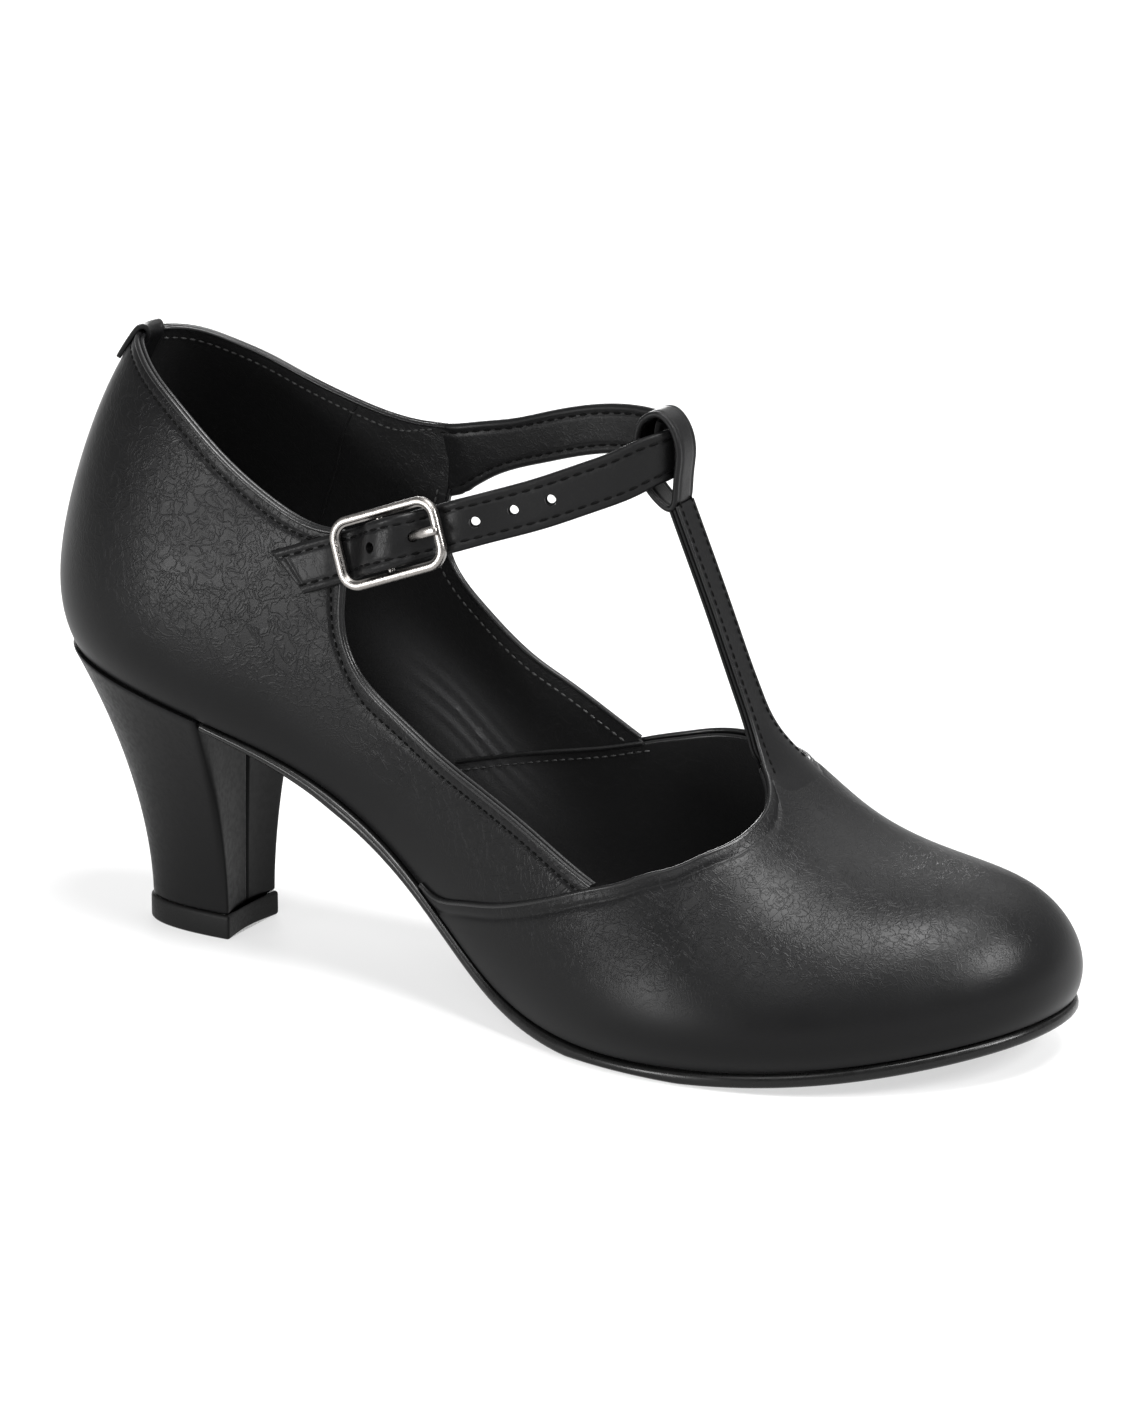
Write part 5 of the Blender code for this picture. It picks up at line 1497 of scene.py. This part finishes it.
band_loops = []
for inset, height in BAND_FORM:
    shrink = BUCKLE_BAND / 2 * (1 + inset)
    sizes = BUCKLE_LENGTH - 2 * shrink, BUCKLE_WIDTH - 2 * shrink, BUCKLE_CORNER - shrink
    rise = BUCKLE_RISE + height * BUCKLE_THICK / 2
    band_loops.append([at_buckle(BUCKLE_SHIFT + a, rise, b) for a, b in rounded_rectangle(*sizes, 18)])
band_loops = np.asarray(band_loops)
band_faces = grid_faces(*band_loops.shape[:2], True, True)
buckle = piece("buckle_band", band_loops, band_faces, NICKEL)
settle(buckle, "nickel", "buckle_frame")
bar_half = (BUCKLE_WIDTH - BUCKLE_BAND) / 2
bar = rod("buckle_bar", at_buckle(0, BAR_RISE), ACROSS, BAR_RADIUS, 2 * bar_half)
bar.data.materials[0] = NICKEL
settle(bar, "nickel")

# %% Prong and tab
PRONG = [(3.6, 1.2), (6.7, 2.45), (8.8, 3.5), (10.6, 4.45), (12.2, 4.8), (14.6, 4.8)]
TAB = [(-9, -2.9), (-6, -2.3), (-2.5, -1.05)]
TAB_ON_QUARTER = [-20, -17, -14]
TAB_THICK, TAB_WIDTH, TAB_ROWS, TAB_PLAY, EYE_PLAY = 0.7, 9.6, 100, 0.1, 0.25
PRONG_GAP, PRONG_EYE, TAB_EYE = 2.9, (165, 300, 7), (-65, 190, 11)
# distance left to the prong's tip, and its half sizes where it is flattened
PRONG_TIP, TIP_HALF_WIDTH, TIP_HALF_THICK, TIP_ROUND = [0, 4, 7], 1.0, 0.62, 0.9


def hooked(rows, radius, first, final, count):
    """Places along and above the strap that run round the bar and on."""
    angles = np.radians(np.linspace(first, final, count))
    return [(radius * math.cos(a), BAR_RISE + radius * math.sin(a)) for a in angles] + list(rows)


def tube_along(name, line, half_width, half_thick, material, sides=20):
    """A soft-edged rod along a line, with a rounded tip at its far end."""
    path = smooth_path(np.asarray(line), 90)
    _, across, out = frames(path, np.tile(ACROSS, (len(path), 1)))
    angles = np.linspace(0, 2 * math.pi, sides, endpoint=False)
    left = chords(path)[-1] - chords(path)
    tip = np.sqrt(np.clip(1 - np.clip(1 - left / TIP_ROUND, 0, 1) ** 2, 0.04, 1))
    loops = []
    for p, a, o, w, t, shrink in zip(path, across, out, half_width(left), half_thick(left), tip):
        wide = np.sign(np.cos(angles)) * np.abs(np.cos(angles)) ** 0.7 * w * shrink
        deep = np.sign(np.sin(angles)) * np.abs(np.sin(angles)) ** 0.7 * t * shrink
        loops.append(p + wide[:, None] * a + deep[:, None] * o)
    return lofted(name, loops, material)


def flattened(tip_half):
    """Half the prong's size by the distance left to its tip."""
    return lambda left: np.interp(left, PRONG_TIP, [tip_half, tip_half, PRONG_RADIUS])


prong_line = [at_buckle(a, r) for a, r in hooked(PRONG, BAR_RADIUS + EYE_PLAY + PRONG_RADIUS, *PRONG_EYE)]
prong = tube_along("buckle_tongue", prong_line, flattened(TIP_HALF_WIDTH), flattened(TIP_HALF_THICK), NICKEL)
settle(prong, "nickel", "buckle_prong")
seat_lift = QUARTER_FACE - WALL - CLEAR - TAB_THICK / 2 - TAB_PLAY
tab_line = [on_quarter(a, seat_lift) for a in TAB_ON_QUARTER] + [at_buckle(a, r) for a, r in TAB]
tab_line += [at_buckle(a, r) for a, r in hooked([], BAR_RADIUS + EYE_PLAY + TAB_THICK / 2, *TAB_EYE)]
tab_path = smooth_path(np.asarray(tab_line), TAB_ROWS)
_, tab_across, tab_out = frames(tab_path, np.tile(ACROSS, (TAB_ROWS, 1)))
tab_section = strap_section(TAB_WIDTH / 2, TAB_THICK, THIN_STRAP_INSET)
tab = lofted("buckle_strip", [[p + a * w + b * o for a, b in tab_section]
                              for p, w, o in zip(tab_path, tab_across, tab_out)], STRAP_LEATHER)
cut(tab, [rod("prong_gap", at_buckle(0, BAR_RISE), ACROSS, PRONG_GAP, PRONG_GAP)])
settle(tab, "strap_leather", "buckle_tab")

# %% [markdown]
# ## The back tab
#
# A short strip of leather is folded over the topline at the heel back. It hides where the rolled edge starts
# and ends. It is a small grid carried up the outside, over the edge and down the inside, then thickened with
# a Solidify modifier. A Bevel modifier softens its cut rims, which would otherwise look like sheet metal.

# %% Back tab
TAB_REACH, BACK_THICK, BACK_PLAY, FOLD_HEIGHT, BACK_ROUND = 0.0145, 1.1, 0.12, 1.2, 0.35
OUTER_LOW_Z, INNER_LOW_Z, LOW_EDGE_ARCH, FOLD_FROM_Z = 123.6, 123.8, 0.9, BACK_TOP_Z - 1
outer_lift = QUARTER_FACE + BACK_PLAY + BACK_THICK / 2
inner_lift = QUARTER_FACE - WALL - BACK_PLAY - BACK_THICK / 2
half_fold = (outer_lift - inner_lift) / 2
tab_lines = []
for place in np.linspace(-1, 1, 25):
    u = place * TAB_REACH
    arch = LOW_EDGE_ARCH * (1 - place ** 2)
    theta = theta_at(u, BACK_TOP_Z)
    rim, normal = last(u, theta, (outer_lift + inner_lift) / 2), last_normal(u, theta)
    rise = unit(last(u, theta) - last(u, theta - 0.02))
    line = [last(u, theta_at(u, z), outer_lift) for z in np.linspace(OUTER_LOW_Z + arch, FOLD_FROM_Z, 14)]
    turn = np.radians(np.linspace(0, 180, 16))
    line += [rim + half_fold * (math.cos(a) * normal + FOLD_HEIGHT * math.sin(a) * rise) for a in turn]
    line += [last(u, theta_at(u, z), inner_lift) for z in np.linspace(FOLD_FROM_Z, INNER_LOW_Z, 10)]
    tab_lines.append(line)
tab_lines = np.asarray(tab_lines)
back_tab = piece("heel_tab", tab_lines, grid_faces(*tab_lines.shape[:2]), STRAP_LEATHER)
thickened(back_tab, BACK_THICK, 0.0)
soft = back_tab.modifiers.new("soft", 'BEVEL')
soft.width = BACK_ROUND * MM
soft.segments = 3
soft.limit_method = 'ANGLE'
soft.angle_limit = SMOOTH_ANGLE
plain(back_tab)
settle(back_tab, "strap_leather", "back_tab")

# %% [markdown]
# ## Floor, light and camera
#
# A catalogue picture of a black shoe has a white surround. Here the world is white, the floor glows a little
# so that it stays pale to its far end, and a wide ceiling light throws the soft shadow. Black leather is seen
# mostly by what it mirrors, so five softboxes are each placed for one broad highlight: the toe, the heel
# side, the front of the vamp, the back and the inner side. The camera stands 1.14 m away with a long lens, 29
# degrees round to the outer side and 17 degrees up.

# %% Floor and world
scene = bpy.context.scene
scene.view_settings.view_transform = 'Standard'
floor_mesh = bpy.data.meshes.new("floor")
FLOOR_HALF, FLOOR_GLOW, ROOM_GLOW = 6.0, 0.62, 0.45
WHITE = (1.0, 1.0, 1.0, 1.0)
corners = [(-1, -1), (1, -1), (1, 1), (-1, 1)]
floor_mesh.from_pydata([(a * FLOOR_HALF, b * FLOOR_HALF, 0.0) for a, b in corners], [], [(0, 1, 2, 3)])
floor = bpy.data.objects.new("floor", floor_mesh)
scene.collection.objects.link(floor)
FLOOR_WHITE, _, floor_shader = new_material("floor_white", (0.25, 0.25, 0.25), 0.8, 0.1)
floor_shader.inputs["Emission Color"].default_value = WHITE
floor_shader.inputs["Emission Strength"].default_value = FLOOR_GLOW
floor_mesh.materials.append(FLOOR_WHITE)
world = bpy.data.worlds.new("white_room")
world.use_nodes = True
world.node_tree.nodes["Background"].inputs["Color"].default_value = WHITE
world.node_tree.nodes["Background"].inputs["Strength"].default_value = ROOM_GLOW
scene.world = world
print("floor and white room ready")

# %% Lamps and camera
# azimuth, elevation, spread in degrees and strength
CEILING = (74, 75, 24, 5.0)
# name, azimuth, elevation, the place it is aimed at, distance, size and power
SOFTBOXES = [
    ("toe_softbox", 88, 38, (0.1, 0.0, 0.03), 1.2, (0.4, 0.4), 19.5),
    ("heel_softbox", -24, 3, (-0.06, 0.0, 0.09), 1.3, (0.35, 0.4), 11.0),
    ("front_softbox", 3, 45, (0.0, 0.0, 0.05), 1.3, (0.5, 0.5), 5.0),
    ("back_softbox", 178, 50, (0.05, 0.0, 0.05), 1.3, (0.9, 0.9), 5.5),
    ("inner_softbox", 215, 9, (0.0, 0.0, 0.06), 1.3, (0.5, 0.6), 9.0),
]
AZIMUTH, ELEVATION, ROLL, DISTANCE = 29.0, 16.7, math.radians(0.2), 1.137
LENS, SENSOR, LOOKED_AT = 140.05, 36.0, (121.3, 0.0, 61.6)


def toward(azimuth, elevation):
    """The direction of a place round the shoe: azimuth 0 is the outer side and 90 the toe."""
    a, e = math.radians(azimuth), math.radians(elevation)
    return Vector((math.sin(a) * math.cos(e), -math.cos(a) * math.cos(e), math.sin(e)))


def hung(light, away, power):
    """A light that shines from a direction, at the scene's origin until it is moved."""
    light.energy = power
    made = bpy.data.objects.new(light.name, light)
    made.rotation_mode = 'QUATERNION'
    made.rotation_quaternion = (-away).to_track_quat('-Z', 'Y')
    scene.collection.objects.link(made)
    return made


def ceiling(azimuth, elevation, spread, strength):
    """A wide bright ceiling, as even all over the floor as a cloudy sky."""
    light = bpy.data.lights.new("ceiling", 'SUN')
    light.angle = math.radians(spread)
    return hung(light, toward(azimuth, elevation), strength)


def softbox(name, azimuth, elevation, aim, distance, size, power):
    """A soft rectangular lamp that the camera doesn't see."""
    light = bpy.data.lights.new(name, 'AREA')
    light.shape = 'RECTANGLE'
    light.size, light.size_y = size
    made = hung(light, toward(azimuth, elevation), power)
    made.location = Vector(aim) + toward(azimuth, elevation) * distance
    made.visible_camera = False
    return made


ceiling(*CEILING)
for row in SOFTBOXES:
    softbox(*row)
target = Vector(to_frame([LOOKED_AT])[0])
back = toward(AZIMUTH, ELEVATION)
camera_data = bpy.data.cameras.new("camera")
camera_data.lens = LENS
camera_data.sensor_width = SENSOR
camera = bpy.data.objects.new("camera", camera_data)
camera.rotation_mode = 'QUATERNION'
camera.location = target + back * DISTANCE
camera.rotation_quaternion = (-back).to_track_quat('-Z', 'Y') @ Quaternion((0.0, 0.0, 1.0), ROLL)
scene.collection.objects.link(camera)
scene.camera = camera
print("camera at", [round(v, 3) for v in camera.location])
